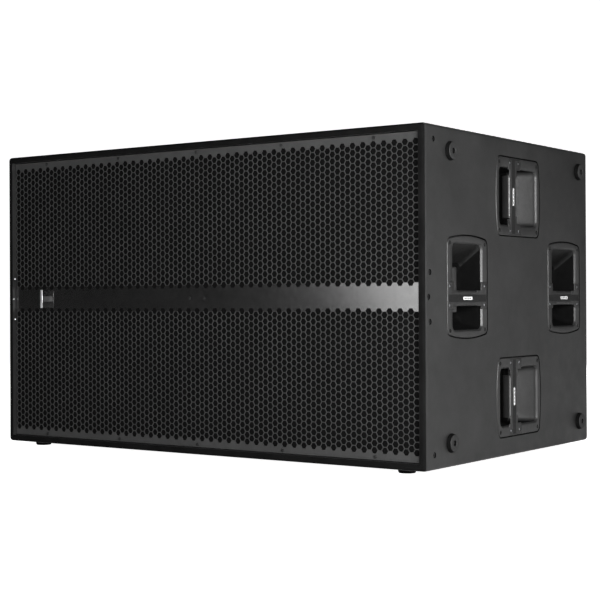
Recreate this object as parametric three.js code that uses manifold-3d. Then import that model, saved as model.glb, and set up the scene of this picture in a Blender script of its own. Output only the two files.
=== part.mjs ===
// A powered touring subwoofer: two 21-inch woofers in a coated plywood cabinet behind a hexagon-mesh grille.
// Millimetres, +Z up. The grille faces -Y, the amplifier +Y, and the side that carries rubber feet +X.
// The origin is on the floor, under the middle of the overall box.
import * as THREE from "three";
import { RoundedBoxGeometry } from "three/addons/geometries/RoundedBoxGeometry.js";
import { mergeVertices } from "three/addons/utils/BufferGeometryUtils.js";
import Module from "manifold-3d";

const wasm = await Module();
wasm.setup();

// ---------- driving dimensions ----------

const cabinet = { width: 1190, depth: 785, height: 700, wall: 15, backWall: 18, edgeRadius: 8 };
const gap = 0.3; // between pieces that touch

const grilleSize = { recess: 10, sheet: 1.5, sideGap: 1.5, corner: 3, notch: 124, notchDepth: 6 };
const foamSize = { thickness: 8, clear: 1 };
const frameSize = { rail: 18, post: 28, depth: 29 }; // the batten frame that the grille screws into
const badgeSize = { width: 46, height: 44, thickness: 2, corner: 4, fromCentre: 470 };
const baffleSize = { thickness: 20 };

const foot = {
  height: 10,
  baseRadius: 20,
  faceRadius: 18,
  edge: 1.5,
  boreRadius: 6,
  boreDepth: 6,
  screwRadius: 3,
};
// From the panel's edges to a foot's centre, for the feet underneath and for those on the side.
const footInset = { side: 72, end: 48 };
const sideFootInset = { edge: 50, front: 103.5, rear: 54 };

const handle = {
  openLength: 180, // the pocket's mouth, away from the grip
  openWidth: 126, // the pocket's mouth, along the grip
  openCorner: 12,
  sideBorder: 23,
  endBorder: 16.75,
  arch: 9, // how far each flange end bulges
  corner: 10,
  flange: 6,
  wall: 3,
  depth: 62,
  slopeRun: 38, // how far the sloping end leans in over the pocket's depth
  endRun: 10,
  margin: 1.2, // gap round the flange in its rebate
};
const boss = { length: 94, width: 16, depth: 22, pastPlate: 31 }; // thick walls under the grip's ends
const grip = {
  offset: 24, // from the flange's centre to the grip, away from the sloping end
  plateOffset: 18.5, // the same for the plates at its ends
  width: 33,
  depth: 24,
  corner: 9,
  plateLength: 57,
  plateWidth: 23,
  plateThickness: 3,
  plateInset: 3, // from the flange's edge to a plate's outer end
  screwSpacing: 40,
  screwInset: 8,
  screwRadius: 2.6,
};
const handleScrew = { radius: 4, fromEnd: 16, fromSide: 10.75 };

const woofer = {
  apart: 34, // between the two flanges
  flangeRadius: 270,
  flangeThickness: 10,
  seat: 20, // how far the flange laps the baffle
  rim: 34, // the flange's own width
  edge: 38, // from the basket's throat in to the cone
  backRadius: 132,
  backDepth: 118,
  metal: 6,
  coneDepth: 84,
  coneTop: -9,
  paper: 2.5,
  coilRadius: 58.5,
  former: 1.2,
  formerEnd: 150,
  capRadius: 84,
  capRise: 28,
  roll: 15,
  rubber: 1.5,
  magnetRadius: 100,
  magnetDepth: 66,
  poleRadius: 55.5,
  gapRadius: 61.5,
  windows: 6,
};
const spiderSize = { depth: 94, wave: 2.5, waves: 2, cloth: 1, seat: 12 };
const port = { radius: 50, wall: 3, flare: 4, flareDepth: 12, lip: 3, length: 200, clear: 1 };

const brace = { thickness: 15, rim: 45, corner: 40, clear: 12 };

const amp = {
  width: 480,
  height: 330,
  plate: 3,
  lap: 20, // how far the plate laps its battens
  batten: 28, // how far the battens run on behind the rear panel
  battenDepth: 18,
  housingDepth: 140,
  sheet: 2,
  clear: 2,
};
const fin = { count: 12, height: 11, thickness: 4, pitch: 17, length: 280 };
const board = { width: 200, margin: 30, thickness: 2, standoff: 20, potHeight: 10, switchHeight: 8 };
const xlr = {
  radius: 11.7,
  proud: 2,
  insertRadius: 8,
  cupRadius: 9.6,
  cupDepth: 13,
  pinRadius: 1.2,
  pinCircle: 4.1,
};
const mains = {
  flangeSize: 31,
  flange: 2,
  barrelRadius: 12,
  ringDepth: 6,
  bodyDepth: 28,
  keyRadius: 6.5,
};
const knob = { radius: 11, height: 11, clear: 1, shaftRadius: 3, shaftClear: 1 };
const button = { radius: 5, clear: 0.5, proud: 5, travel: 2 };

const sides = { large: 24, medium: 16, small: 12 }; // of turned pieces

// ---------- places worked out from the sizes ----------

const front = -cabinet.depth / 2;
const back = cabinet.depth / 2;
const bottom = foot.height;
const top = bottom + cabinet.height;
const middle = (bottom + top) / 2;
const inner = {
  halfWidth: cabinet.width / 2 - cabinet.wall,
  halfHeight: cabinet.height / 2 - cabinet.wall,
};
const grilleFront = front + grilleSize.recess;
const foamFront = grilleFront + grilleSize.sheet + gap;
const foamBack = foamFront + foamSize.thickness;
const frameFront = foamBack + gap;
const baffleFront = frameFront + frameSize.depth + gap;
const baffleBack = baffleFront + baffleSize.thickness;
const backPanelInside = back - cabinet.backWall;
const plateInside = backPanelInside + gap;
const plateOutside = plateInside + amp.plate;
const boardBack = plateInside - board.standoff;
const boardFront = boardBack + board.thickness;

const controls = { x: -110, rowXlr: 92, rowKnobs: 18, rowMains: -92, xlrPitch: 44, mainsPitch: 80 };
const xlrPlaces = [-1.5, -0.5, 0.5, 1.5].map((n) => controls.x + n * controls.xlrPitch);
const mainsPlaces = [-0.5, 0.5].map((n) => controls.x + n * controls.mainsPitch);
const knobPlaces = { level_knob: controls.x + 52, encoder_knob: controls.x - 14 };
const buttonPlace = controls.x - 70;

// ---------- materials ----------

const material = (color, roughness, metalness = 0) =>
  new THREE.MeshStandardMaterial({ color, roughness, metalness });
const materials = {
  coating: material(0x323233, 0.75),
  plywood: material(0xa98a5f, 0.8),
  grille: material(0x2b2b2c, 0.45, 0.6),
  foam: material(0x0c0c0d, 0.95),
  plastic: material(0x2c2c2d, 0.5),
  rubber: material(0x141415, 0.8),
  badge: material(0xb8b8ba, 0.3, 0.8),
  basket: material(0x3a3b3e, 0.5, 0.8),
  magnet: material(0x6f7277, 0.35, 0.9),
  paper: material(0x1b1b1b, 0.85),
  cloth: material(0xb59a62, 0.9),
  plate: material(0x222224, 0.45, 0.7),
  steel: material(0x8e9196, 0.35, 0.9),
  board: material(0x1f4d2c, 0.6),
};

// ---------- solids from three.js geometry ----------

function solidOf(geometry) {
  const loose = geometry.index ? geometry.toNonIndexed() : geometry;
  const bare = new THREE.BufferGeometry().setAttribute("position", loose.getAttribute("position"));
  const merged = mergeVertices(bare, 1e-4);
  return new wasm.Manifold(
    new wasm.Mesh({
      numProp: 3,
      vertProperties: merged.attributes.position.array,
      triVerts: new Uint32Array(merged.index.array),
    }),
  );
}

function meshOf(name, solid, look) {
  const { vertProperties, triVerts } = solid.getMesh();
  const geometry = new THREE.BufferGeometry()
    .setAttribute("position", new THREE.BufferAttribute(vertProperties, 3))
    .setIndex(new THREE.BufferAttribute(triVerts, 1))
    .toNonIndexed();
  geometry.computeVertexNormals();
  const mesh = new THREE.Mesh(geometry, look);
  mesh.name = name;
  return mesh;
}

const joined = (first, ...rest) => rest.reduce((sum, piece) => sum.add(piece), first);
const without = (whole, ...cuts) => cuts.reduce((rest, cut) => rest.subtract(cut), whole);

// A box from its lowest to its highest corner.
function block([x0, y0, z0], [x1, y1, z1]) {
  const geometry = new THREE.BoxGeometry(x1 - x0, y1 - y0, z1 - z0);
  return solidOf(geometry.translate((x0 + x1) / 2, (y0 + y1) / 2, (z0 + z1) / 2));
}

// A flat outline pushed along one axis: drawn in (y, z) for x, in (x, z) for y and in (x, y) for z.
function prismGeometry(axis, shape, from, to, curveSegments) {
  const geometry = new THREE.ExtrudeGeometry(shape, { depth: to - from, bevelEnabled: false, curveSegments });
  if (axis === "x") {
    const turn = new THREE.Matrix4().makeBasis(
      new THREE.Vector3(0, 1, 0),
      new THREE.Vector3(0, 0, 1),
      new THREE.Vector3(1, 0, 0),
    );
    return geometry.applyMatrix4(turn).translate(from, 0, 0);
  }
  if (axis === "y") return geometry.rotateX(Math.PI / 2).translate(0, to, 0);
  return geometry.translate(0, 0, from);
}

const prism = (...sizes) => solidOf(prismGeometry(...sizes));

function disc(radius, x = 0, y = 0) {
  const shape = new THREE.Shape();
  shape.absarc(x, y, radius, 0, 2 * Math.PI);
  return shape;
}

function outline(points) {
  return new THREE.Shape(points.map(([x, y]) => new THREE.Vector2(x, y)));
}

// A rectangle with round corners whose short ends may bulge outwards by an arch.
function roundedRectangle(width, height, corner, x = 0, y = 0, arch = 0) {
  const [w, h] = [width / 2, height / 2 - arch];
  const shape = new THREE.Shape();
  shape.moveTo(x + w, y - h + corner);
  shape.lineTo(x + w, y + h - corner);
  shape.quadraticCurveTo(x + w, y + h, x + w - corner, y + h + arch * 0.25);
  if (arch) shape.quadraticCurveTo(x, y + h + arch * 1.75, x - w + corner, y + h + arch * 0.25);
  else shape.lineTo(x - w + corner, y + h);
  shape.quadraticCurveTo(x - w, y + h, x - w, y + h - corner);
  shape.lineTo(x - w, y - h + corner);
  shape.quadraticCurveTo(x - w, y - h, x - w + corner, y - h - arch * 0.25);
  if (arch) shape.quadraticCurveTo(x, y - h - arch * 1.75, x + w - corner, y - h - arch * 0.25);
  else shape.lineTo(x + w - corner, y - h);
  shape.quadraticCurveTo(x + w, y - h, x + w, y - h + corner);
  return shape;
}

// A profile of (radius, y) points turned about the Y axis.
function turned(profile, segments = sides.medium) {
  const points = profile.map(([r, y]) => new THREE.Vector2(r, y));
  const solid = solidOf(new THREE.LatheGeometry(points, segments));
  return solid.volume() > 0 ? solid : solidOf(new THREE.LatheGeometry(points.reverse(), segments));
}

// ---------- handles ----------

const flangeWidth = handle.openWidth + 2 * handle.sideBorder;
const flangeLength = handle.openLength + 2 * handle.endBorder;
const bossInside = handle.openWidth / 2 - boss.width;
const plateReach = flangeWidth / 2 - grip.plateInset;

const flangeOutline = (grow = 0) =>
  roundedRectangle(flangeWidth + 2 * grow, flangeLength + 2 * grow, handle.corner + grow, 0, 0, handle.arch);
const pocketOutline = (grow = 0) =>
  roundedRectangle(handle.openWidth + 2 * grow, handle.openLength + 2 * grow, handle.openCorner + grow);

// The pocket seen from the side, in (y, z): one end slopes in like a scoop, the other is steep.
function pocketSide(grow = 0) {
  const half = handle.openLength / 2 + grow;
  const floor = -(handle.depth + grow);
  return outline([
    [half, 1],
    [half, -2],
    [half - handle.slopeRun, floor + 8],
    [half - handle.slopeRun - 12, floor],
    [-half + handle.endRun + 14, floor],
    [-half + handle.endRun, floor + 14],
    [-half, -2],
    [-half, 1],
  ]);
}

// The outer surface (with a wall's growth) or the hollow of the pocket.
function pocketSolid(grow, lip) {
  const reach = flangeWidth / 2;
  return prism("z", pocketOutline(grow), -handle.depth - 20, lip, 2).intersect(
    prism("x", pocketSide(grow), -reach, reach),
  );
}

// The four screw places of a rectangle round (0, y).
const corners = (x, halfHeight, y = 0) =>
  [-1, 1].flatMap((sx) => [-1, 1].map((sy) => [sx * x, y + sy * halfHeight]));

// The grip's thin ends, which lie in a seat in the flange: a neck over each boss and a screwed plate.
function gripEnds(grow, fromZ, toZ) {
  return [-1, 1].flatMap((side) => {
    const strip = (from, to, length, offset) => {
      const [x0, x1] = [side * from, side * to].sort((a, b) => a - b);
      return block([x0, -offset - length / 2, fromZ], [x1, -offset + length / 2, toZ]);
    };
    return [
      strip(bossInside - 2, plateReach - 1, grip.width + 2 * grow, grip.offset),
      strip(plateReach - grip.plateWidth - grow, plateReach + grow, grip.plateLength + 2 * grow, grip.plateOffset),
    ];
  });
}

function handleCup() {
  const flange = prism("z", flangeOutline(), -handle.flange, 0, 2);
  const shell = pocketSolid(handle.wall, 0);
  const bosses = [-1, 1].map((side) => {
    const [x0, x1] = [side * bossInside, side * (handle.openWidth / 2 + 1)].sort((a, b) => a - b);
    const end = grip.plateLength / 2 + boss.pastPlate - grip.plateOffset;
    return block([x0, end - boss.length, -boss.depth], [x1, end, 0]);
  });
  const hollow = pocketSolid(0, 1);
  const seats = gripEnds(gap, -grip.plateThickness - gap, 1);
  const screws = corners(flangeWidth / 2 - handleScrew.fromSide, flangeLength / 2 - handleScrew.fromEnd).map(
    ([x, y]) => prism("z", disc(handleScrew.radius, x, y), -handle.flange - 1, 1, 3),
  );
  return without(joined(without(joined(flange, shell), hollow), ...bosses), ...seats, ...screws);
}

function handleGrip() {
  const section = roundedRectangle(grip.width, grip.depth, grip.corner, -grip.offset, -grip.depth / 2);
  const bar = prism("x", section, gap - bossInside, bossInside - gap, 2);
  const ends = gripEnds(0, -grip.plateThickness, 0);
  const screws = corners(plateReach - grip.screwInset, grip.screwSpacing / 2, -grip.plateOffset).map(([x, y]) =>
    prism("z", disc(grip.screwRadius, x, y), -grip.plateThickness - 1, 1, 3),
  );
  return without(joined(bar, ...ends), ...screws);
}

// From the panel's edges to a handle's middle, and how far the middles lie above or behind the panel's own.
const handleInset = { front: 178, rear: 133.5, edge: 129 };
const handleShift = { up: 21, back: 22 };
const upright = new THREE.Vector3(0, 0, 1);
const level = new THREE.Vector3(0, 1, 0);
const handlePlaces = [
  { name: "front", y: front + handleInset.front, up: handleShift.up, slope: upright },
  { name: "rear", y: back - handleInset.rear, up: handleShift.up, slope: upright },
  { name: "upper", y: handleShift.back, up: cabinet.height / 2 - handleInset.edge, slope: level },
  { name: "lower", y: handleShift.back, up: handleInset.edge - cabinet.height / 2, slope: level },
];

// The handle's own frame: x along the grip, y towards the sloping end, z out of the panel.
function handleMatrix(side, place) {
  const out = new THREE.Vector3(side, 0, 0);
  const across = new THREE.Vector3().crossVectors(place.slope, out);
  return new THREE.Matrix4()
    .makeBasis(across, place.slope, out)
    .setPosition((side * cabinet.width) / 2, place.y, middle + place.up);
}

function addHandles(group) {
  const cup = handleCup();
  const bar = handleGrip();
  for (const [side, sideName] of [[-1, "left"], [1, "right"]]) {
    for (const place of handlePlaces) {
      const set = new THREE.Group();
      set.applyMatrix4(handleMatrix(side, place));
      set.add(meshOf(`${sideName}_${place.name}_handle_cup`, cup, materials.plastic));
      set.add(meshOf(`${sideName}_${place.name}_handle_grip`, bar, materials.plastic));
      group.add(set);
    }
  }
}

// ---------- feet ----------

const bottomFeet = [-1, 1].flatMap((sx) =>
  [-1, 1].map((sy) => ({
    name: `${sy < 0 ? "front" : "rear"}_${sx < 0 ? "left" : "right"}_bottom_foot`,
    x: sx * (cabinet.width / 2 - footInset.side),
    y: sy * (cabinet.depth / 2 - footInset.end),
  })),
);
const sideFeet = [-1, 1].flatMap((sz) =>
  [-1, 1].map((sy) => ({
    name: `${sz < 0 ? "lower" : "upper"}_${sy < 0 ? "front" : "rear"}_side_foot`,
    y: sy < 0 ? front + sideFootInset.front : back - sideFootInset.rear,
    z: middle + sz * (cabinet.height / 2 - sideFootInset.edge),
  })),
);

function footSolid() {
  return turned(
    [
      [foot.screwRadius, gap],
      [foot.baseRadius, gap],
      [foot.faceRadius, foot.height - foot.edge],
      [foot.faceRadius - foot.edge, foot.height],
      [foot.boreRadius, foot.height],
      [foot.boreRadius, foot.height - foot.boreDepth],
      [foot.screwRadius, foot.height - foot.boreDepth],
      [foot.screwRadius, gap],
    ],
    sides.small,
  );
}

function addFeet(group) {
  const solid = footSolid();
  for (const place of bottomFeet) {
    const mesh = meshOf(place.name, solid, materials.rubber);
    mesh.position.set(place.x, place.y, bottom);
    mesh.rotation.x = -Math.PI / 2;
    group.add(mesh);
  }
  for (const place of sideFeet) {
    const mesh = meshOf(place.name, solid, materials.rubber);
    mesh.position.set(cabinet.width / 2, place.y, place.z);
    mesh.rotation.z = -Math.PI / 2;
    group.add(mesh);
  }
}

// ---------- cabinet panels ----------

const sideScrews = [
  { fromFront: 36, up: cabinet.height / 2 - 31 },
  { fromFront: 20, up: 50 },
  { fromFront: 15, up: 0 },
  { fromFront: 20, up: -50 },
  { fromFront: 36, up: -cabinet.height / 2 + 31 },
];
const sideScrew = { radius: 6, depth: 5 };

function roundedCabinet() {
  const geometry = new RoundedBoxGeometry(
    cabinet.width,
    cabinet.depth,
    cabinet.height,
    2,
    cabinet.edgeRadius,
  );
  return solidOf(geometry.translate(0, 0, middle));
}

// The outer box between two heights and two sides.
function slab(x0, x1, z0, z1) {
  return roundedCabinet().intersect(block([x0, front - 1, z0], [x1, back + 1, z1]));
}

function footHole(axis, a, b, from, to) {
  return prism(axis, disc(foot.screwRadius, a, b), from, to, 4);
}

function topPanel() {
  const reach = cabinet.width / 2 + 1;
  return slab(-reach, reach, top - cabinet.wall, top + 1);
}

function bottomPanel() {
  const reach = cabinet.width / 2 + 1;
  const holes = bottomFeet.map((p) => footHole("z", p.x, p.y, bottom - 1, bottom + cabinet.wall + 1));
  return without(slab(-reach, reach, bottom - 1, bottom + cabinet.wall), ...holes);
}

// A side panel with its rebated handle cut-outs, blind screw seats and, where it has feet, their holes.
function sidePanel(side) {
  const inside = side * inner.halfWidth;
  const outside = side * (cabinet.width / 2 + 1);
  const [x0, x1] = [inside, outside].sort((a, b) => a - b);
  const panel = slab(x0, x1, bottom + cabinet.wall + gap, top - cabinet.wall - gap);
  const cuts = handlePlaces.flatMap((place) => {
    const matrix = handleMatrix(side, place);
    const rebate = prismGeometry("z", flangeOutline(handle.margin), -handle.flange - gap, 2, 2);
    const opening = prismGeometry("z", pocketOutline(handle.wall + 3), -cabinet.wall - 2, 2, 2);
    return [solidOf(rebate.applyMatrix4(matrix)), solidOf(opening.applyMatrix4(matrix))];
  });
  const [s0, s1] = [side * (cabinet.width / 2 - sideScrew.depth), outside].sort((a, b) => a - b);
  const screws = sideScrews.map((p) =>
    prism("x", disc(sideScrew.radius, front + p.fromFront, middle + p.up), s0, s1, 6),
  );
  const holes = side > 0 ? sideFeet.map((p) => footHole("x", p.y, p.z, x0 - 1, x1 + 1)) : [];
  return without(panel, ...cuts, ...screws, ...holes);
}

function rearPanel() {
  const panel = block(
    [-inner.halfWidth + gap, backPanelInside, middle - inner.halfHeight + gap],
    [inner.halfWidth - gap, back, middle + inner.halfHeight - gap],
  );
  const opening = roundedRectangle(amp.width + 2 * amp.clear, amp.height + 2 * amp.clear, 5, 0, middle);
  return without(panel, prism("y", opening, backPanelInside - 1, back + 1, 3));
}

function ampBattens() {
  const [w, h] = [amp.width / 2 - amp.lap, amp.height / 2 - amp.lap];
  const y1 = backPanelInside - gap;
  const y0 = y1 - amp.battenDepth;
  const [bw, bh] = [w + amp.batten + amp.lap, h + amp.batten + amp.lap];
  return without(
    block([-bw, y0, middle - bh], [bw, y1, middle + bh]),
    block([-w, y0 - 1, middle - h], [w, y1 + 1, middle + h]),
  );
}

const wooferOffset = woofer.flangeRadius + woofer.apart / 2;
const wooferPlaces = [["left", -wooferOffset], ["right", wooferOffset]];
const cutoutRadius = woofer.flangeRadius - woofer.seat;
const throatRadius = woofer.flangeRadius - woofer.rim;
const coneRadius = throatRadius - woofer.edge;
const portFromWalls = frameSize.rail + port.clear + port.radius + port.flare + port.lip;
const portPlaces = [-1, 1].flatMap((sx) =>
  [-1, 1].map((sz) => ({
    name: `${sz < 0 ? "lower" : "upper"}_${sx < 0 ? "left" : "right"}_port`,
    x: sx * (inner.halfWidth - portFromWalls),
    z: middle + sz * (inner.halfHeight - portFromWalls),
  })),
);

function frontBaffle() {
  const panel = block(
    [-inner.halfWidth + gap, baffleFront, middle - inner.halfHeight + gap],
    [inner.halfWidth - gap, baffleBack, middle + inner.halfHeight - gap],
  );
  const cones = wooferPlaces.map(([, x]) =>
    prism("y", disc(cutoutRadius, x, middle), baffleFront - 1, baffleBack + 1, 18),
  );
  const ports = portPlaces.map((p) =>
    prism("y", disc(port.radius + port.wall + port.clear, p.x, p.z), baffleFront - 1, baffleBack + 1, 9),
  );
  return without(panel, ...cones, ...ports);
}

// The upright board between the woofers, windowed for air and cut away round the amplifier.
function centreBrace() {
  const half = brace.thickness / 2;
  const y0 = baffleBack + gap;
  const y1 = backPanelInside - gap;
  const z0 = middle - inner.halfHeight + gap;
  const z1 = middle + inner.halfHeight - gap;
  const ampFront = plateInside - amp.housingDepth - brace.clear;
  const ampHalf = amp.height / 2 + amp.batten + brace.clear;
  const notch = block([-half - 1, ampFront, middle - ampHalf], [half + 1, y1 + 1, middle + ampHalf]);
  const width = ampFront - y0 - 2 * brace.rim;
  const height = (z1 - z0 - 3 * brace.rim) / 2;
  const windows = [-1, 1].map((side) => {
    const z = middle + (side * (height + brace.rim)) / 2;
    const shape = roundedRectangle(width, height, brace.corner, (y0 + ampFront) / 2, z);
    return prism("x", shape, -half - 1, half + 1, 4);
  });
  return without(block([-half, y0, z0], [half, y1, z1]), notch, ...windows);
}

// ---------- grille ----------

// A folded tray whose side folds are cut away round the middle screws.
function grilleTray() {
  const halfWidth = inner.halfWidth - grilleSize.sideGap;
  const halfHeight = inner.halfHeight - grilleSize.sideGap;
  const inside = grilleFront + grilleSize.sheet;
  const sized = (less) =>
    roundedRectangle(2 * (halfWidth - less), 2 * (halfHeight - less), grilleSize.corner, 0, middle);
  const half = grilleSize.notch / 2;
  const notches = [-1, 1].map((side) => {
    const edge = side * halfWidth;
    const [x0, x1] = [edge - side * grilleSize.notchDepth, edge + side].sort((a, b) => a - b);
    return block([x0, inside, middle - half], [x1, foamBack + 1, middle + half]);
  });
  return without(
    prism("y", sized(0), grilleFront, foamBack, 2),
    prism("y", sized(grilleSize.sheet), inside, foamBack + 1, 2),
    ...notches,
  );
}

function grilleFoam() {
  const inset = grilleSize.sideGap + grilleSize.sheet + foamSize.clear;
  return block(
    [-inner.halfWidth + inset, foamFront, middle - inner.halfHeight + inset],
    [inner.halfWidth - inset, foamBack, middle + inner.halfHeight - inset],
  );
}

// Four rails round the mouth of the cabinet and a post between the woofers.
function grilleFrame() {
  const w = inner.halfWidth - gap;
  const h = inner.halfHeight - gap;
  const y1 = frameFront + frameSize.depth;
  const ring = without(
    block([-w, frameFront, middle - h], [w, y1, middle + h]),
    block(
      [-w + frameSize.rail, frameFront - 1, middle - h + frameSize.rail],
      [w - frameSize.rail, y1 + 1, middle + h - frameSize.rail],
    ),
  );
  const half = frameSize.post / 2;
  return joined(ring, block([-half, frameFront, middle - h + 1], [half, y1, middle + h - 1]));
}

function badge() {
  const y1 = grilleFront - gap;
  const { width, height, corner, fromCentre } = badgeSize;
  const shape = roundedRectangle(width, height, corner, -fromCentre, middle);
  return prism("y", shape, y1 - badgeSize.thickness, y1, 2);
}

// ---------- woofers: profiles of (radius, depth behind the baffle's front face) ----------

function basket() {
  const { flangeRadius, flangeThickness, backRadius, backDepth, metal, gapRadius } = woofer;
  const floor = backDepth - metal;
  const shelf = spiderSize.depth + gap;
  const neck = throatRadius + 8;
  const profile = [
    [throatRadius, -flangeThickness],
    [flangeRadius, -flangeThickness],
    [flangeRadius, -gap],
    [neck, -gap],
    [neck, baffleSize.thickness + 2],
    [backRadius + metal, backDepth - 8],
    [backRadius, backDepth],
    [gapRadius, backDepth],
    [gapRadius, floor],
    [backRadius - spiderSize.seat, floor],
    [backRadius - spiderSize.seat, shelf],
    [backRadius, shelf],
    [throatRadius, baffleSize.thickness - 2],
    [throatRadius, -flangeThickness],
  ];
  const shell = turned(profile, sides.large);
  const windowShape = outline([
    [-50, baffleSize.thickness + 14],
    [50, baffleSize.thickness + 14],
    [32, shelf - 14],
    [-32, shelf - 14],
  ]);
  const windows = Array.from({ length: woofer.windows }, (_, n) => {
    const geometry = prismGeometry("z", windowShape, backRadius - 20, throatRadius + 20, 1);
    return solidOf(geometry.rotateY(((n + 0.5) * 2 * Math.PI) / woofer.windows));
  });
  return without(shell, ...windows);
}

function magnet() {
  const start = woofer.backDepth + gap;
  const end = start + woofer.magnetDepth;
  const gapFloor = end - 13;
  return turned([
    [0, start],
    [woofer.poleRadius, start],
    [woofer.poleRadius, gapFloor],
    [woofer.gapRadius, gapFloor],
    [woofer.gapRadius, start],
    [woofer.magnetRadius, start],
    [woofer.magnetRadius, end - 4],
    [woofer.magnetRadius - 4, end],
    [0, end],
  ]);
}

const coneAt = (radius) =>
  woofer.coneTop + ((coneRadius - radius) * woofer.coneDepth) / (coneRadius - woofer.coilRadius);

// The paper cone with the voice-coil former glued to its neck.
function cone() {
  const { coneTop, paper, coilRadius, former, formerEnd } = woofer;
  const neck = coneAt(coilRadius);
  return turned([
    [coneRadius, coneTop],
    [coneRadius, coneTop + paper],
    [coilRadius, neck + paper + 1],
    [coilRadius, formerEnd],
    [coilRadius - former, formerEnd],
    [coilRadius - former, neck],
    [coneRadius, coneTop],
  ]);
}

function dustCap() {
  const { capRadius, capRise, paper } = woofer;
  const sphere = (capRadius ** 2 + capRise ** 2) / (2 * capRise);
  const rim = coneAt(capRadius) - 1;
  const steps = 4;
  const radii = Array.from({ length: steps + 1 }, (_, n) => (capRadius * n) / steps);
  const dome = (r, lift) => [r, rim - capRise - lift + sphere - Math.sqrt(sphere ** 2 - r ** 2)];
  const inside = radii.map((r) => dome(r, 0));
  const outside = radii.map((r) => dome(Math.max(r - 1, 0), paper)).reverse();
  return turned([...inside, ...outside]);
}

// The half-roll rubber edge, from its lip on the cone to its lip on the basket.
function surround() {
  const { coneTop, roll, rubber, flangeThickness } = woofer;
  const centre = coneRadius + gap + roll + rubber / 2;
  const y = -flangeThickness - gap;
  const steps = 5;
  const arc = (radius) =>
    Array.from({ length: steps + 1 }, (_, n) => {
      const angle = Math.PI * (1 - n / steps);
      return [centre + radius * Math.cos(angle), y - rubber - radius * Math.sin(angle)];
    });
  const outerLip = throatRadius + 15;
  const innerLip = coneRadius - 10;
  const lipY = coneTop - gap - 5;
  return turned([
    [innerLip, lipY - rubber],
    [innerLip, lipY],
    ...arc(roll - rubber / 2),
    [outerLip, y],
    [outerLip, y - rubber],
    ...arc(roll + rubber / 2).reverse(),
    [innerLip, lipY - rubber],
  ]);
}

// The pleated cloth disc that centres the voice coil, with a flat rim glued to the basket's shelf.
function spider() {
  const { depth, wave, waves, cloth, seat } = spiderSize;
  const start = woofer.coilRadius + gap;
  const seatStart = woofer.backRadius - seat;
  const count = waves * 2 + 1;
  const crests = Array.from({ length: count }, (_, n) => [
    start + ((seatStart - start) * n) / count,
    depth - cloth + (n % 2 ? wave : -wave),
  ]);
  const upper = [...crests, [seatStart, depth - cloth], [woofer.backRadius - 1, depth - cloth]];
  const lower = upper.map(([r, y]) => [r, y + cloth]).reverse();
  return turned([...upper, ...lower, upper[0]]);
}

function addWoofers(group) {
  const makes = [
    ["basket", basket(), materials.basket],
    ["magnet", magnet(), materials.magnet],
    ["cone", cone(), materials.paper],
    ["dust_cap", dustCap(), materials.paper],
    ["surround", surround(), materials.rubber],
    ["spider", spider(), materials.cloth],
  ];
  for (const [side, x] of wooferPlaces) {
    for (const [piece, solid, look] of makes) {
      const mesh = meshOf(`${side}_woofer_${piece}`, solid, look);
      mesh.position.set(x, baffleFront, middle);
      group.add(mesh);
    }
  }
}

function portTube() {
  const { radius, wall, flare, flareDepth, lip, length } = port;
  const flareRadius = radius + flare;
  return turned(
    [
      [flareRadius, -gap - 1.5],
      [flareRadius + lip, -gap - 1.5],
      [flareRadius + lip, -gap],
      [radius + wall, -gap],
      [radius + wall, length],
      [radius, length],
      [radius, flareDepth],
      [flareRadius, -gap - 1.5],
    ],
    sides.medium,
  );
}

function addPorts(group) {
  const solid = portTube();
  for (const place of portPlaces) {
    const mesh = meshOf(place.name, solid, materials.plastic);
    mesh.position.set(place.x, baffleFront, place.z);
    group.add(mesh);
  }
}

// ---------- amplifier ----------

function ampPlate() {
  const shape = roundedRectangle(amp.width, amp.height, 4, 0, middle);
  const plate = prism("y", shape, plateInside, plateOutside, 3);
  const fins = Array.from({ length: fin.count }, (_, n) => {
    const x = 20 + n * fin.pitch;
    return block(
      [x, plateOutside - 1, middle - fin.length / 2],
      [x + fin.thickness, plateOutside + fin.height, middle + fin.length / 2],
    );
  });
  const hole = (radius, x, z) => prism("y", disc(radius, x, z), plateInside - 1, plateOutside + 1, 6);
  const holes = [
    ...xlrPlaces.map((x) => hole(xlr.radius + gap + 0.2, x, middle + controls.rowXlr)),
    ...mainsPlaces.map((x) => hole(mains.barrelRadius + gap + 0.2, x, middle + controls.rowMains)),
    ...Object.values(knobPlaces).map((x) =>
      hole(knob.shaftRadius + knob.shaftClear, x, middle + controls.rowKnobs),
    ),
    hole(button.radius + button.clear, buttonPlace, middle + controls.rowKnobs),
  ];
  return without(joined(plate, ...fins), ...holes);
}

// The folded steel box behind the plate that holds the power supply and amplifier boards.
function ampHousing() {
  const [w, h] = [amp.width / 2 - amp.lap - amp.clear, amp.height / 2 - amp.lap - amp.clear];
  const y1 = plateInside - gap;
  const y0 = y1 - amp.housingDepth;
  return without(
    block([-w, y0, middle - h], [w, y1, middle + h]),
    block(
      [-w + amp.sheet, y0 + amp.sheet, middle - h + amp.sheet],
      [w - amp.sheet, y1 + 1, middle + h - amp.sheet],
    ),
  );
}

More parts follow.
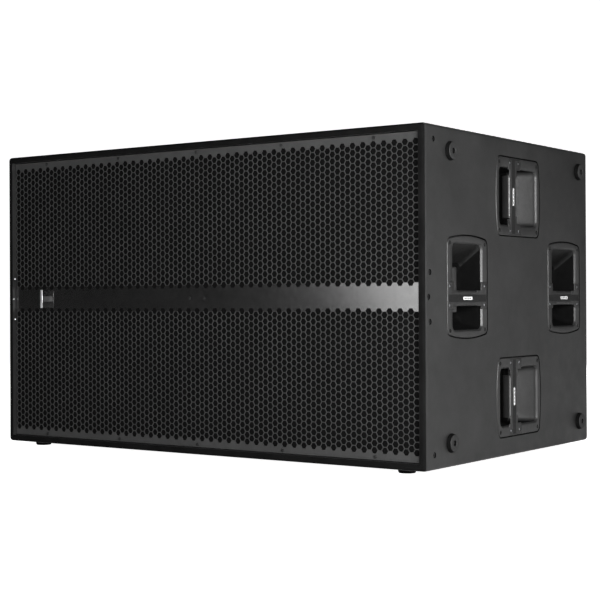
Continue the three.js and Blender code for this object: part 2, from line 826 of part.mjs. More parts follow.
// The signal board with two female inputs, two male links, two control bodies and a switch body.
function inputBoard() {
  const z = middle + controls.rowXlr;
  const tip = plateOutside + xlr.proud;
  const barrels = xlrPlaces.map((x) => prism("y", disc(xlr.radius, x, z), boardFront - 1, tip, 7));
  const cuts = xlrPlaces.flatMap((x, n) => {
    const cup = prism("y", disc(xlr.cupRadius, x, z), tip - xlr.cupDepth, tip + 1, 7);
    const male = n % 2 === 1;
    const pins = [0, 120, 240].map((degrees) => {
      const angle = THREE.MathUtils.degToRad(degrees + 30);
      const [px, pz] = [x + xlr.pinCircle * Math.cos(angle), z + xlr.pinCircle * Math.sin(angle)];
      return prism("y", disc(xlr.pinRadius, px, pz), tip - xlr.cupDepth - 1, tip - 1, 2);
    });
    if (male) return [without(cup, ...pins)];
    const insert = prism("y", disc(xlr.insertRadius, x, z), tip - xlr.cupDepth - 1, tip - 1, 7);
    return [without(cup, insert), ...pins];
  });
  const sheet = block(
    [controls.x - board.width / 2, boardBack, middle + controls.rowKnobs - board.margin],
    [controls.x + board.width / 2, boardFront, z + board.margin],
  );
  const housing = (x, half, height) =>
    block(
      [x - half, boardFront - 1, middle + controls.rowKnobs - half],
      [x + half, boardFront + height, middle + controls.rowKnobs + half],
    );
  const pots = Object.values(knobPlaces).map((x) => housing(x, 8, board.potHeight));
  return without(joined(sheet, ...barrels, ...pots, housing(buttonPlace, 6, board.switchHeight)), ...cuts);
}

function mainsSocket(x) {
  const z = middle + controls.rowMains;
  const seat = plateOutside + gap;
  const face = seat + mains.ringDepth;
  const outer = roundedRectangle(mains.flangeSize, mains.flangeSize, 3, x, z);
  const flange = prism("y", outer, seat, seat + mains.flange, 2);
  const barrel = prism("y", disc(mains.barrelRadius, x, z), seat - mains.bodyDepth, face, 8);
  const ring = without(
    prism("y", disc(mains.barrelRadius - 2, x, z), seat - 12, face + 1, 8),
    prism("y", disc(mains.keyRadius, x, z), seat - 13, face - 1, 8),
  );
  return without(joined(flange, barrel), ring);
}

function controlKnob(x) {
  const z = middle + controls.rowKnobs;
  const seat = plateOutside + knob.clear;
  const face = seat + knob.height;
  const body = prism("y", disc(knob.radius, x, z), seat, face, 9);
  const pointer = block([x - 0.8, face - 1, z + 3], [x + 0.8, face + 0.6, z + knob.radius - 1.5]);
  const shaft = prism("y", disc(knob.shaftRadius, x, z), boardFront + board.potHeight + gap, seat + 1, 4);
  return joined(body, pointer, shaft);
}

function bypassButton() {
  const z = middle + controls.rowKnobs;
  return prism(
    "y",
    disc(button.radius, buttonPlace, z),
    boardFront + board.switchHeight + button.travel + 1,
    plateOutside + button.proud,
    8,
  );
}

// ---------- assembly ----------

const subwoofer = new THREE.Group();
const add = (name, solid, look) => subwoofer.add(meshOf(name, solid, look));

add("top_panel", topPanel(), materials.coating);
add("bottom_panel", bottomPanel(), materials.coating);
add("left_side_panel", sidePanel(-1), materials.coating);
add("right_side_panel", sidePanel(1), materials.coating);
add("rear_panel", rearPanel(), materials.coating);
add("amp_batten_frame", ampBattens(), materials.plywood);
add("front_baffle", frontBaffle(), materials.coating);
add("centre_brace", centreBrace(), materials.plywood);
add("grille", grilleTray(), materials.grille);
add("grille_foam", grilleFoam(), materials.foam);
add("grille_batten_frame", grilleFrame(), materials.coating);
add("badge", badge(), materials.badge);
addHandles(subwoofer);
addFeet(subwoofer);
addWoofers(subwoofer);
addPorts(subwoofer);
add("amp_plate", ampPlate(), materials.plate);
add("amp_housing", ampHousing(), materials.steel);
add("input_board", inputBoard(), materials.board);
add("mains_inlet", mainsSocket(mainsPlaces[0]), materials.plastic);
add("mains_link", mainsSocket(mainsPlaces[1]), materials.plastic);
for (const [name, x] of Object.entries(knobPlaces)) add(name, controlKnob(x), materials.plastic);
add("bypass_button", bypassButton(), materials.plastic);

// Only one side has feet, so the cabinet sits half a foot's height off the overall box's middle.
subwoofer.position.x = -foot.height / 2;

export default subwoofer;
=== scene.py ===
import math

import bmesh
import bpy
from mathutils import Matrix, Vector


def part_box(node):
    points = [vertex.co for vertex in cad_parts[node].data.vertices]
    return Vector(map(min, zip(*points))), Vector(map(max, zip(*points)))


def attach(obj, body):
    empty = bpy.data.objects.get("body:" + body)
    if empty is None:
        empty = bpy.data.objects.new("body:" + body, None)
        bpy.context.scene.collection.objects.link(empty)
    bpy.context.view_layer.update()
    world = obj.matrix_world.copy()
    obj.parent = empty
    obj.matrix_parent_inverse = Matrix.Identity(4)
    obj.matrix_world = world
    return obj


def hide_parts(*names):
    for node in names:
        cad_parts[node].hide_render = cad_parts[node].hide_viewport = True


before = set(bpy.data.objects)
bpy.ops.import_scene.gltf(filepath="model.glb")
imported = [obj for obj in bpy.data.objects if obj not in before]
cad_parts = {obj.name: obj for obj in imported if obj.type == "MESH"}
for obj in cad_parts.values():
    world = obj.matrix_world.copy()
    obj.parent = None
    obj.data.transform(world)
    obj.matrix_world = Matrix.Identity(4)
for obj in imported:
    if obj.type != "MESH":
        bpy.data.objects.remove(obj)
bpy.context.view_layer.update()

MM = 0.001
TAU = 2 * math.pi


# ---------- places from the frame ----------


def corners_of(*nodes):
    """The lowest and highest corner of some CAD nodes, in millimetres."""
    boxes = [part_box(node) for node in nodes]
    low = Vector(min(box[0][axis] for box in boxes) for axis in range(3))
    high = Vector(max(box[1][axis] for box in boxes) for axis in range(3))
    return low / MM, high / MM


BODY_LOW, BODY_HIGH = corners_of("top_panel", "bottom_panel", "left_side_panel", "right_side_panel")
BODY_MIDDLE = (BODY_LOW + BODY_HIGH) / 2
WALL = corners_of("bottom_panel")[1].z - BODY_LOW.z
GRILLE_LOW, GRILLE_HIGH = corners_of("grille")
FOAM_LOW, FOAM_HIGH = corners_of("grille_foam")
BAFFLE_LOW = corners_of("front_baffle")[0]
PLATE_LOW, PLATE_HIGH = corners_of("amp_plate")
REAR_LOW, REAR_HIGH = corners_of("rear_panel")

SIDES = {"left": -1, "right": 1}
HANDLES = ("front", "rear", "upper", "lower")
FACING = {
    "front": Matrix.Rotation(math.pi / 2, 4, "X"),
    "rear": Matrix.Rotation(-math.pi / 2, 4, "X"),
    "left": Matrix.Rotation(-math.pi / 2, 4, "Y"),
    "right": Matrix.Rotation(math.pi / 2, 4, "Y"),
    "up": Matrix.Identity(4),
    "down": Matrix.Rotation(math.pi, 4, "X"),
}


def at(place, facing="up"):
    """The matrix that stands a piece on a point with its own Z axis facing a side."""
    return Matrix.Translation(place) @ FACING[facing]


# ---------- shaping ----------


def bevel(bm, edges, radius, segments=3):
    bmesh.ops.bevel(
        bm,
        geom=list(edges),
        offset=radius,
        offset_type="OFFSET",
        affect="EDGES",
        segments=segments,
        profile=0.5,
        material=-1,
    )


def heal(bm):
    """Welds doubled points and turns every face outwards."""
    bmesh.ops.remove_doubles(bm, verts=bm.verts, dist=0.0005)
    bmesh.ops.dissolve_degenerate(bm, edges=bm.edges, dist=0.0005)
    bmesh.ops.recalc_face_normals(bm, faces=bm.faces)
    return bm


def block(low, high, radius=0.0, segments=3):
    """A box from corner to corner, with rounded edges if it has a radius."""
    low, high = Vector(low), Vector(high)
    bm = bmesh.new()
    matrix = Matrix.Translation((low + high) / 2) @ Matrix.Diagonal((*(high - low), 1))
    bmesh.ops.create_cube(bm, size=1, matrix=matrix)
    if radius:
        bevel(bm, bm.edges, radius, segments)
    return bm


def rod(radius, bottom, top, sides=32, edge=0.0):
    """A round bar along Z, with both rims rounded if it has an edge."""
    bm = bmesh.new()
    matrix = Matrix.Translation((0, 0, (bottom + top) / 2))
    bmesh.ops.create_cone(
        bm,
        cap_ends=True,
        segments=sides,
        radius1=radius,
        radius2=radius,
        depth=top - bottom,
        matrix=matrix,
    )
    if edge:
        bevel(bm, [e for e in bm.edges if abs(e.verts[0].co.z - e.verts[1].co.z) < 1e-4], edge)
    return bm


def turned(profile, sides=48, closed=False):
    """A profile of (radius, height) points spun about Z."""
    bm = bmesh.new()
    verts = [bm.verts.new((radius, 0, height)) for radius, height in profile]
    ends = verts[1:] + verts[:1] if closed else verts[1:]
    edges = [bm.edges.new(pair) for pair in zip(verts, ends)]
    bmesh.ops.spin(
        bm,
        geom=verts + edges,
        cent=(0, 0, 0),
        axis=(0, 0, 1),
        angle=TAU,
        steps=sides,
        use_merge=True,
    )
    return heal(bm)


def arc(centre, radius, start, end, steps):
    """Points on a circle between two angles in degrees."""
    x, y = centre
    turns = [math.radians(start + (end - start) * n / steps) for n in range(steps + 1)]
    return [(x + radius * math.cos(turn), y + radius * math.sin(turn)) for turn in turns]


def outline(width, length, corner, bulge=0.0, middle=0.0, steps=5, along=7):
    """A rectangle with round corners whose ends may bulge, as (x, y) points."""
    half_width = width / 2 - corner
    half_length = length / 2 - bulge - corner
    points = []
    for quarter, (side, end) in enumerate(((1, 1), (-1, 1), (-1, -1), (1, -1))):
        centre = (side * half_width, end * half_length)
        points += arc(centre, corner, quarter * 90, quarter * 90 + 90, steps)
        if quarter in (0, 2):
            spans = [1 - 2 * n / (along + 1) for n in range(1, along + 1)]
            points += [(side * half_width * span, end * (half_length + corner)) for span in spans]
    swell = [bulge * (1 - (2 * x / width) ** 2) if abs(y) > half_length else 0 for x, y in points]
    return [(x, middle + y + math.copysign(extra, y)) for (x, y), extra in zip(points, swell)]


def lofted(rings):
    """A closed skin through rings of (points, height), capped at both ends."""
    bm = bmesh.new()
    verts = [bm.verts.new((x, y, rings[0][1])) for x, y in rings[0][0]]
    edges = [bm.edges.new(pair) for pair in zip(verts, verts[1:] + verts[:1])]
    bmesh.ops.edgeloop_fill(bm, edges=edges)
    for points, height in rings[1:]:
        made = bmesh.ops.extrude_edge_only(bm, edges=edges)["geom"]
        fresh = {part for part in made if isinstance(part, bmesh.types.BMVert)}
        verts = [next(e.other_vert(v) for e in v.link_edges if e.other_vert(v) in fresh) for v in verts]
        for vert, (x, y) in zip(verts, points):
            vert.co = (x, y, height)
        edges = [bm.edges.get(pair) for pair in zip(verts, verts[1:] + verts[:1])]
    bmesh.ops.edgeloop_fill(bm, edges=edges)
    return heal(bm)


def slab(points, bottom, top, edge=0.0):
    """A flat outline given thickness along Z, its upper rim rounded if it has an edge."""
    bm = lofted([(points, bottom), (points, top)])
    if edge:
        bevel(bm, [e for e in bm.edges if all(abs(v.co.z - top) < 1e-4 for v in e.verts)], edge)
    return bm


def moved(bm, matrix):
    """The same shape in another place."""
    bmesh.ops.transform(bm, matrix=matrix, verts=bm.verts)
    return bm


def joined(*parts):
    """Several shapes as one mesh."""
    whole = bmesh.new()
    scratch = bpy.data.meshes.new("scratch")
    for part in parts:
        part.to_mesh(scratch)
        whole.from_mesh(scratch)
        part.free()
    bpy.data.meshes.remove(scratch)
    return whole


def placed(bm, matrices):
    """Copies of one shape in several places."""
    copies = [moved(bm.copy(), matrix) for matrix in matrices]
    bm.free()
    return joined(*copies)


def carved(bm, tool, operation="DIFFERENCE"):
    """One shape cut by, or united with, another."""
    objects = []
    for part in (bm, tool):
        mesh = bpy.data.meshes.new("scratch")
        part.to_mesh(mesh)
        part.free()
        objects.append(bpy.data.objects.new("scratch", mesh))
        bpy.context.scene.collection.objects.link(objects[-1])
    modifier = objects[0].modifiers.new("cut", "BOOLEAN")
    modifier.object = objects[1]
    modifier.operation = operation
    modifier.solver = "MANIFOLD"
    result = bmesh.new()
    result.from_object(objects[0], bpy.context.evaluated_depsgraph_get())
    for made in objects:
        bpy.data.meshes.remove(made.data)
    return result


def marked(bm, index, chosen):
    """Gives the chosen faces another of the piece's materials."""
    bm.normal_update()
    for face in bm.faces:
        if chosen(face.calc_center_median(), face.normal):
            face.material_index = index
    return bm


def piece(name, bm, material, body="cabinet", replaces=(), smooth=35, others=()):
    """Brings a shape to metres and makes it a named piece that rides on a body."""
    bmesh.ops.scale(bm, vec=(MM, MM, MM), verts=bm.verts)
    mesh = bpy.data.meshes.new(name)
    bm.to_mesh(mesh)
    bm.free()
    mesh.materials.append(material)
    for other in others:
        mesh.materials.append(other)
    mesh.polygons.foreach_set("use_smooth", [True] * len(mesh.polygons))
    mesh.set_sharp_from_angle(angle=math.radians(smooth))
    obj = bpy.data.objects.new(name, mesh)
    bpy.context.scene.collection.objects.link(obj)
    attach(obj, body)
    if replaces:
        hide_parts(*replaces)
    return obj


def dress(node, material):
    """Gives a CAD node that is shown as it is a better material."""
    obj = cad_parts[node]
    for place in obj.material_slots:
        place.material = material


# ---------- shader parts ----------


def add(tree, kind, feeds=(), **settings):
    """A node with its settings, its plain values and its links."""
    made = tree.nodes.new(kind)
    for key, value in settings.items():
        setattr(made, key, value)
    for socket, value in dict(feeds).items():
        if isinstance(value, bpy.types.NodeSocket):
            tree.links.new(value, made.inputs[socket])
        else:
            made.inputs[socket].default_value = value
    return made


def effect(name, given, result):
    """An empty node group with named number inputs and outputs."""
    tree = bpy.data.node_groups.new(name, "ShaderNodeTree")
    for socket, value in given.items():
        made = tree.interface.new_socket(socket, in_out="INPUT", socket_type="NodeSocketFloat")
        made.default_value = value
    for socket in result:
        tree.interface.new_socket(socket, in_out="OUTPUT", socket_type="NodeSocketFloat")
    inputs = tree.nodes.new("NodeGroupInput").outputs
    outputs = tree.nodes.new("NodeGroupOutput").inputs
    return tree, inputs, outputs


def pebble_effect():
    """Small rounded bumps, as in a sprayed coat, moulded grain or cast skin."""
    tree, given, result = effect("pebbles", {"Scale": 500.0, "Roundness": 0.6}, ("Height",))
    place = add(tree, "ShaderNodeTexCoord").outputs["Object"]
    cells = add(
        tree,
        "ShaderNodeTexVoronoi",
        {"Vector": place, "Scale": given["Scale"], "Smoothness": given["Roundness"]},
        feature="SMOOTH_F1",
    )
    noise = add(tree, "ShaderNodeTexNoise", {"Vector": place, "Scale": given["Scale"], "Detail": 3.0})
    domes = add(tree, "ShaderNodeMath", {0: 1.0, 1: cells.outputs["Distance"]}, operation="SUBTRACT")
    product = {0: domes.outputs[0], 1: noise.outputs["Fac"]}
    both = add(tree, "ShaderNodeMath", product, operation="MULTIPLY")
    tree.links.new(both.outputs[0], result["Height"])
    return tree


def mottle_effect():
    """Soft cloudy variation between two values."""
    tree, given, result = effect("mottle", {"Scale": 12.0, "Low": 0.0, "High": 1.0}, ("Value",))
    place = add(tree, "ShaderNodeTexCoord").outputs["Object"]
    noise = add(
        tree,
        "ShaderNodeTexNoise",
        {"Vector": place, "Scale": given["Scale"], "Detail": 5.0, "Roughness": 0.6},
    )
    spread = add(
        tree,
        "ShaderNodeMapRange",
        {
            "Value": noise.outputs["Fac"],
            "From Min": 0.35,
            "From Max": 0.65,
            "To Min": given["Low"],
            "To Max": given["High"],
        },
    )
    tree.links.new(spread.outputs["Result"], result["Value"])
    return tree


def ridge_effect():
    """Fine parallel lines, as in brushed metal, paper fibre or wood."""
    given = {"Length": 4.0, "Fineness": 700.0}
    tree, given, result = effect("ridges", given, ("Height",))
    place = add(tree, "ShaderNodeTexCoord").outputs["Object"]
    stretch = add(
        tree,
        "ShaderNodeCombineXYZ",
        {"X": given["Length"], "Y": given["Fineness"], "Z": given["Fineness"]},
    )
    long = add(
        tree,
        "ShaderNodeVectorMath",
        {0: place, 1: stretch.outputs[0]},
        operation="MULTIPLY",
    )
    noise = add(tree, "ShaderNodeTexNoise", {"Vector": long.outputs[0], "Scale": 1.0, "Detail": 3.0})
    tree.links.new(noise.outputs["Fac"], result["Height"])
    return tree


EFFECTS = {"pebbles": pebble_effect(), "mottle": mottle_effect(), "ridges": ridge_effect()}


def use(tree, name, **values):
    """Places an effect in a material with its own values and returns its output."""
    group = add(tree, "ShaderNodeGroup", node_tree=EFFECTS[name])
    for socket, value in values.items():
        group.inputs[socket].default_value = value
    return group.outputs[0]


def blank_material(name):
    material = bpy.data.materials.new(name)
    material.use_nodes = True
    tree = material.node_tree
    return material, tree, tree.nodes["Principled BSDF"]


def set_plain(shader, values):
    """Numbers that are the same all over go straight on the shader's sockets."""
    for socket, value in values.items():
        shader.inputs[socket].default_value = value


def two_tone(tree, shader, tones, blotch):
    """A colour that drifts between two close tones."""
    mask = use(tree, "mottle", Scale=blotch)
    mix = add(tree, "ShaderNodeMix", {"Factor": mask}, data_type="RGBA")
    for socket, tone in zip([s for s in mix.inputs if s.type == "RGBA"], tones):
        socket.default_value = (*tone, 1)
    result = next(s for s in mix.outputs if s.type == "RGBA")
    tree.links.new(result, shader.inputs["Base Color"])


def finish(name, tones, blotch, roughness, bump=None, texture="pebbles", plain=(), **effect_values):
    """A solid finish: two close tones, uneven gloss and a fine surface of its own."""
    material, tree, shader = blank_material(name)
    two_tone(tree, shader, tones, blotch)
    gloss = use(tree, "mottle", Scale=blotch * 2.7, Low=roughness[0], High=roughness[1])
    tree.links.new(gloss, shader.inputs["Roughness"])
    if bump:
        height = use(tree, texture, **effect_values)
        relief = add(tree, "ShaderNodeBump", {"Strength": bump[0], "Distance": bump[1], "Height": height})
        tree.links.new(relief.outputs["Normal"], shader.inputs["Normal"])
    set_plain(shader, dict(plain))
    return material


def grey(value):
    return (value, value, value)


# ---------- the finishes of this cabinet ----------

COAT = finish(
    "sprayed_coat",
    (grey(0.011), grey(0.017)),
    9.0,
    (0.42, 0.52),
    bump=(0.45, 0.0004),
    Scale=420.0,
    Roundness=0.5,
    plain={"Specular IOR Level": 0.6},
)
# Painted shade: the same coat made near black for the forward-facing front rim and the front half of its
# rounded edge.
SHADED_RIM_COAT = finish(
    "painted_shade_rim_coat",
    (grey(0.003), grey(0.005)),
    20.0,
    (0.7, 0.85),
    bump=(0.45, 0.0004),
    Scale=420.0,
    Roundness=0.5,
    plain={"Specular IOR Level": 0.06},
)
BARE_PLY = finish(
    "birch_plywood",
    ((0.50, 0.35, 0.19), (0.62, 0.47, 0.28)),
    22.0,
    (0.5, 0.7),
    bump=(0.3, 0.0003),
    texture="ridges",
    Length=9.0,
    Fineness=260.0,
)
GRILLE_PAINT = finish(
    "grille_powder_coat",
    (grey(0.006), grey(0.009)),
    30.0,
    (0.16, 0.20),
    bump=(0.2, 0.00012),
    Scale=1500.0,
    Roundness=0.7,
    plain={"Specular IOR Level": 0.9},
)
WEB_PAINT = finish(
    "grille_web_coat",
    (grey(0.028), grey(0.036)),
    30.0,
    (0.38, 0.46),
    bump=(0.2, 0.00012),
    Scale=1500.0,
    Roundness=0.7,
    plain={"Specular IOR Level": 0.35},
)
HANDLE_PLASTIC = finish(
    "moulded_handle_plastic",
    (grey(0.016), grey(0.021)),
    35.0,
    (0.30, 0.40),
    bump=(0.25, 0.00012),
    Scale=1400.0,
    Roundness=0.6,
)
GRIP_PLASTIC = finish(
    "grip_plastic",
    (grey(0.014), grey(0.019)),
    45.0,
    (0.34, 0.46),
    bump=(0.2, 0.0001),
    Scale=1700.0,
    Roundness=0.6,
)
# Painted shade: near-black colour for rebates, bores, deep pocket walls and the feet's sides, where shade
# falls.
PAINTED_SHADE = finish(
    "painted_shade_recess",
    (grey(0.0012), grey(0.0022)),
    40.0,
    (0.75, 0.9),
    bump=(0.3, 0.0002),
    Scale=900.0,
    Roundness=0.5,
    plain={"Specular IOR Level": 0.08},
)
# Painted shade: a darker copy of the handle plastic for the front and rear handles' sloping pocket ends.
SHADED_SLOPE_PLASTIC = finish(
    "painted_shade_handle_plastic",
    (grey(0.004), grey(0.006)),
    35.0,
    (0.5, 0.6),
    bump=(0.25, 0.00012),
    Scale=1400.0,
    Roundness=0.6,
    plain={"Specular IOR Level": 0.25},
)
# The grip's dark middle band, also used as painted shade on the grip's deep back and on the upper and lower
# handles' sloping pocket ends.
GRIP_BAND_AND_SHADE = finish(
    "grip_band_and_painted_shade",
    (grey(0.006), grey(0.009)),
    70.0,
    (0.5, 0.62),
    bump=(0.2, 0.0001),
    Scale=1900.0,
    Roundness=0.6,
    plain={"Specular IOR Level": 0.3},
)
RUBBER = finish(
    "foot_rubber",
    (grey(0.010), grey(0.015)),
    60.0,
    (0.55, 0.75),
    bump=(0.3, 0.00015),
    Scale=1300.0,
    Roundness=0.8,
)
SURROUND_RUBBER = finish(
    "surround_rubber",
    (grey(0.012), grey(0.018)),
    25.0,
    (0.45, 0.6),
    bump=(0.2, 0.0001),
    Scale=1500.0,
    Roundness=0.8,
)
ZINC = finish(
    "zinc_plate",
    ((0.52, 0.53, 0.55), (0.66, 0.66, 0.68)),
    90.0,
    (0.22, 0.38),
    bump=(0.15, 0.00005),
    texture="ridges",
    Length=300.0,
    Fineness=2200.0,
    plain={"Metallic": 1.0},
)
BLACK_STEEL = finish(
    "black_oxide_steel",
    (grey(0.02), grey(0.035)),
    70.0,
    (0.35, 0.5),
    bump=(0.2, 0.00006),
    Scale=1900.0,
    Roundness=0.5,
    plain={"Metallic": 0.7},
)
SILVER = finish(
    "satin_silver",
    ((0.62, 0.62, 0.63), (0.72, 0.72, 0.73)),
    80.0,
    (0.28, 0.36),
    bump=(0.12, 0.00004),
    texture="ridges",
    Length=500.0,
    Fineness=3000.0,
    plain={"Metallic": 0.85},
)
BADGE_BLACK = finish("badge_black", (grey(0.01), grey(0.014)), 60.0, (0.2, 0.3))
BADGE_GREY = finish("badge_grey_print", (grey(0.05), grey(0.07)), 90.0, (0.35, 0.5))
LABEL_WHITE = finish("label_white_print", (grey(0.62), grey(0.72)), 110.0, (0.4, 0.5))
CAST_PAINT = finish(
    "cast_basket_paint",
    (grey(0.02), grey(0.03)),
    30.0,
    (0.45, 0.6),
    bump=(0.4, 0.0003),
    Scale=700.0,
    Roundness=0.5,
)
MAGNET_STEEL = finish(
    "magnet_plates",
    ((0.30, 0.31, 0.33), (0.40, 0.41, 0.43)),
    40.0,
    (0.3, 0.45),
    bump=(0.15, 0.00008),
    texture="ridges",
    Length=120.0,
    Fineness=1200.0,
    plain={"Metallic": 0.9},
)
CONE_PAPER = finish(
    "pressed_paper",
    (grey(0.020), grey(0.034)),
    55.0,
    (0.75, 0.9),
    bump=(0.6, 0.0004),
    Scale=650.0,
    Roundness=0.2,
)
PORT_PLASTIC = finish(
    "port_plastic",
    (grey(0.014), grey(0.02)),
    40.0,
    (0.35, 0.5),
    bump=(0.15, 0.0001),
    Scale=1500.0,
    Roundness=0.8,
)
PLATE_ANODISED = finish(
    "anodised_plate",
    (grey(0.018), grey(0.026)),
    25.0,
    (0.34, 0.46),
    bump=(0.2, 0.00006),
    texture="ridges",
    Length=60.0,
    Fineness=1500.0,
    plain={"Metallic": 0.6},
)
HOUSING_STEEL = finish(
    "galvanised_sheet",
    ((0.45, 0.46, 0.47), (0.60, 0.61, 0.62)),
    60.0,
    (0.3, 0.5),
    bump=(0.15, 0.00008),
    texture="ridges",
    Length=50.0,
    Fineness=900.0,
    plain={"Metallic": 0.9},
)
SOCKET_PLASTIC = finish(
    "socket_plastic",
    (grey(0.012), grey(0.018)),
    60.0,
    (0.3, 0.42),
    bump=(0.15, 0.00006),
    Scale=2100.0,
    Roundness=0.6,
)
SOCKET_BLUE = finish("mains_inlet_blue", ((0.01, 0.06, 0.30), (0.015, 0.08, 0.36)), 80.0, (0.32, 0.45))
SOCKET_GREY = finish("mains_link_grey", (grey(0.28), grey(0.34)), 80.0, (0.32, 0.45))


def foam_material():
    """Open-cell foam: black pits between thin struts, the pits darkened further as painted shade."""
    material, tree, shader = blank_material("open_cell_foam")
    place = add(tree, "ShaderNodeTexCoord").outputs["Object"]
    grain = {"Vector": place, "Scale": 900.0}
    cells = add(tree, "ShaderNodeTexVoronoi", grain, feature="DISTANCE_TO_EDGE")
    # Painted shade: the colour darkens from the struts towards the middle of each cell, where the pits lie.
    struts = add(
        tree,
        "ShaderNodeMapRange",
        {"Value": cells.outputs["Distance"], "From Max": 0.12, "To Min": 0.003, "To Max": 0.0008},
    )
    tree.links.new(struts.outputs["Result"], shader.inputs["Base Color"])
    relief = add(
        tree,
        "ShaderNodeBump",
        {"Strength": 0.8, "Distance": 0.0006, "Height": cells.outputs["Distance"]},
        invert=True,
    )
    tree.links.new(relief.outputs["Normal"], shader.inputs["Normal"])
    set_plain(shader, {"Roughness": 0.95, "Specular IOR Level": 0.1})
    return material


def weave_material():
    """The spider's varnished cotton: two crossed threads."""
    material, tree, shader = blank_material("varnished_cotton")
    two_tone(tree, shader, ((0.45, 0.31, 0.10), (0.60, 0.44, 0.17)), 90.0)
    place = add(tree, "ShaderNodeTexCoord").outputs["Object"]
    threads = [
        add(
            tree,
            "ShaderNodeTexWave",
            {"Vector": place, "Scale": 900.0},
            bands_direction=direction,
        ).outputs["Fac"]
        for direction in ("X", "Z")
    ]
    weave = add(tree, "ShaderNodeMath", {0: threads[0], 1: threads[1]}, operation="MAXIMUM")
    relief = add(tree, "ShaderNodeBump", {"Strength": 0.5, "Distance": 0.0003, "Height": weave.outputs[0]})
    tree.links.new(relief.outputs["Normal"], shader.inputs["Normal"])
    set_plain(shader, {"Roughness": 0.6})
    return material


def lamp_material(name, colour, strength):
    """A small indicator lens that glows."""
    material, tree, shader = blank_material(name)
    glow = use(tree, "mottle", Scale=600.0, Low=0.25, High=0.35)
    tree.links.new(glow, shader.inputs["Roughness"])
    set_plain(
        shader,
        {"Base Color": (*colour, 1), "Emission Color": (*colour, 1), "Emission Strength": strength},
    )
    return material


FOAM = foam_material()
SPIDER_CLOTH = weave_material()
GREEN_LAMP = lamp_material("green_lamp", (0.05, 0.9, 0.15), 2.0)
RED_LAMP = lamp_material("red_lamp", (0.35, 0.01, 0.01), 0.0)
SCREEN = lamp_material("small_screen", (0.01, 0.03, 0.06), 0.4)


# ---------- small fittings ----------


def cross_head(radius, height):
    """A domed screw head with a cross recess, standing on z = 0."""
    crown = [(radius, height * 0.35), (radius * 0.7, height * 0.85), (0, height)]
    dome = turned([(0, 0), (radius, 0), *crown], 20)
    arm, thin = radius * 0.55, radius * 0.14
    cross = joined(
        block((-arm, -thin, height * 0.45), (arm, thin, height + 1)),
        block((-thin, -arm, height * 0.452), (thin, arm, height + 1)),
    )
    return carved(dome, cross)


def socket_head(radius, height):
    """A cylinder screw head with a six-sided socket, standing on z = 0."""
    socket = rod(radius * 0.5, height * 0.4, height + 1, 6)
    return carved(rod(radius, 0, height, 20, edge=radius * 0.12), socket)


# ---------- cabinet ----------

EDGE_RADIUS = 8.0
SCREW_BORE = {"radius": 6.0, "depth": 5.0}
# Each panel screw's distance back from the front edge, and up from the middle.
PANEL_SCREWS = [(36, 319), (20, 50), (15, 0), (20, -50), (36, -319)]
REBATE_GAP = 2.6
FLANGE = {"width": 172.0, "length": 213.5, "corner": 10.0, "bulge": 9.0, "depth": 6.0}
MOUTH = {"width": 126.0, "length": 180.0, "corner": 12.0}


def handle_matrix(side, name):
    """A handle's own frame: X along the grip, Y towards its sloping end, Z out of the panel."""
    low, high = corners_of(f"{side}_{name}_handle_cup")
    middle = (low + high) / 2
    out = Vector((SIDES[side], 0, 0))
    slope = Vector((0, 1, 0)) if name in ("upper", "lower") else Vector((0, 0, 1))
    across = slope.cross(out)
    face = BODY_HIGH.x if side == "right" else BODY_LOW.x
    matrix = Matrix((across, slope, out)).transposed().to_4x4()
    matrix.translation = (face, middle.y, middle.z)
    return matrix


def panel_screw_places(side):
    """Where a side panel's counterbored screws are."""
    face = BODY_HIGH.x if side == "right" else BODY_LOW.x
    return [(face, BODY_LOW.y + back, BODY_MIDDLE.z + up) for back, up in PANEL_SCREWS]


def side_cuts(side):
    """What is cut from a side panel, as shapes that are taken away one after another."""
    places = [handle_matrix(side, name) for name in HANDLES]
    rim = outline(
        FLANGE["width"] + 2 * REBATE_GAP,
        FLANGE["length"] + 2 * REBATE_GAP,
        FLANGE["corner"] + REBATE_GAP,
        FLANGE["bulge"],
    )
    hole = outline(MOUTH["width"] + 11, MOUTH["length"] + 11, MOUTH["corner"] + 5)
    bores = [at(place, side) for place in panel_screw_places(side)]
    return [
        placed(slab(rim, -FLANGE["depth"] - 0.3, 20), places),
        placed(slab(hole, -WALL - 5, 5), places),
        placed(rod(SCREW_BORE["radius"], -SCREW_BORE["depth"], 3, 24), bores),
    ]


def in_rebate_shade(centre, normal):
    """Whether a side panel's face is in one of its cuts, away from its edges; these faces get painted
    shade.
    """
    half = BODY_HIGH - BODY_MIDDLE
    away = centre - BODY_MIDDLE
    border = EDGE_RADIUS + 3
    inside = abs(away.y) < half.y - border and abs(away.z) < half.z - border
    return inside and 0.3 < half.x - abs(away.x) < WALL - 0.3


def in_shaded_front_rim(centre, normal):
    """Whether a panel's face looks forwards, at the cabinet's front edge, where painted shade darkens the
    coat.
    """
    return normal.y < -0.45 and centre.y < BODY_LOW.y + EDGE_RADIUS + 1


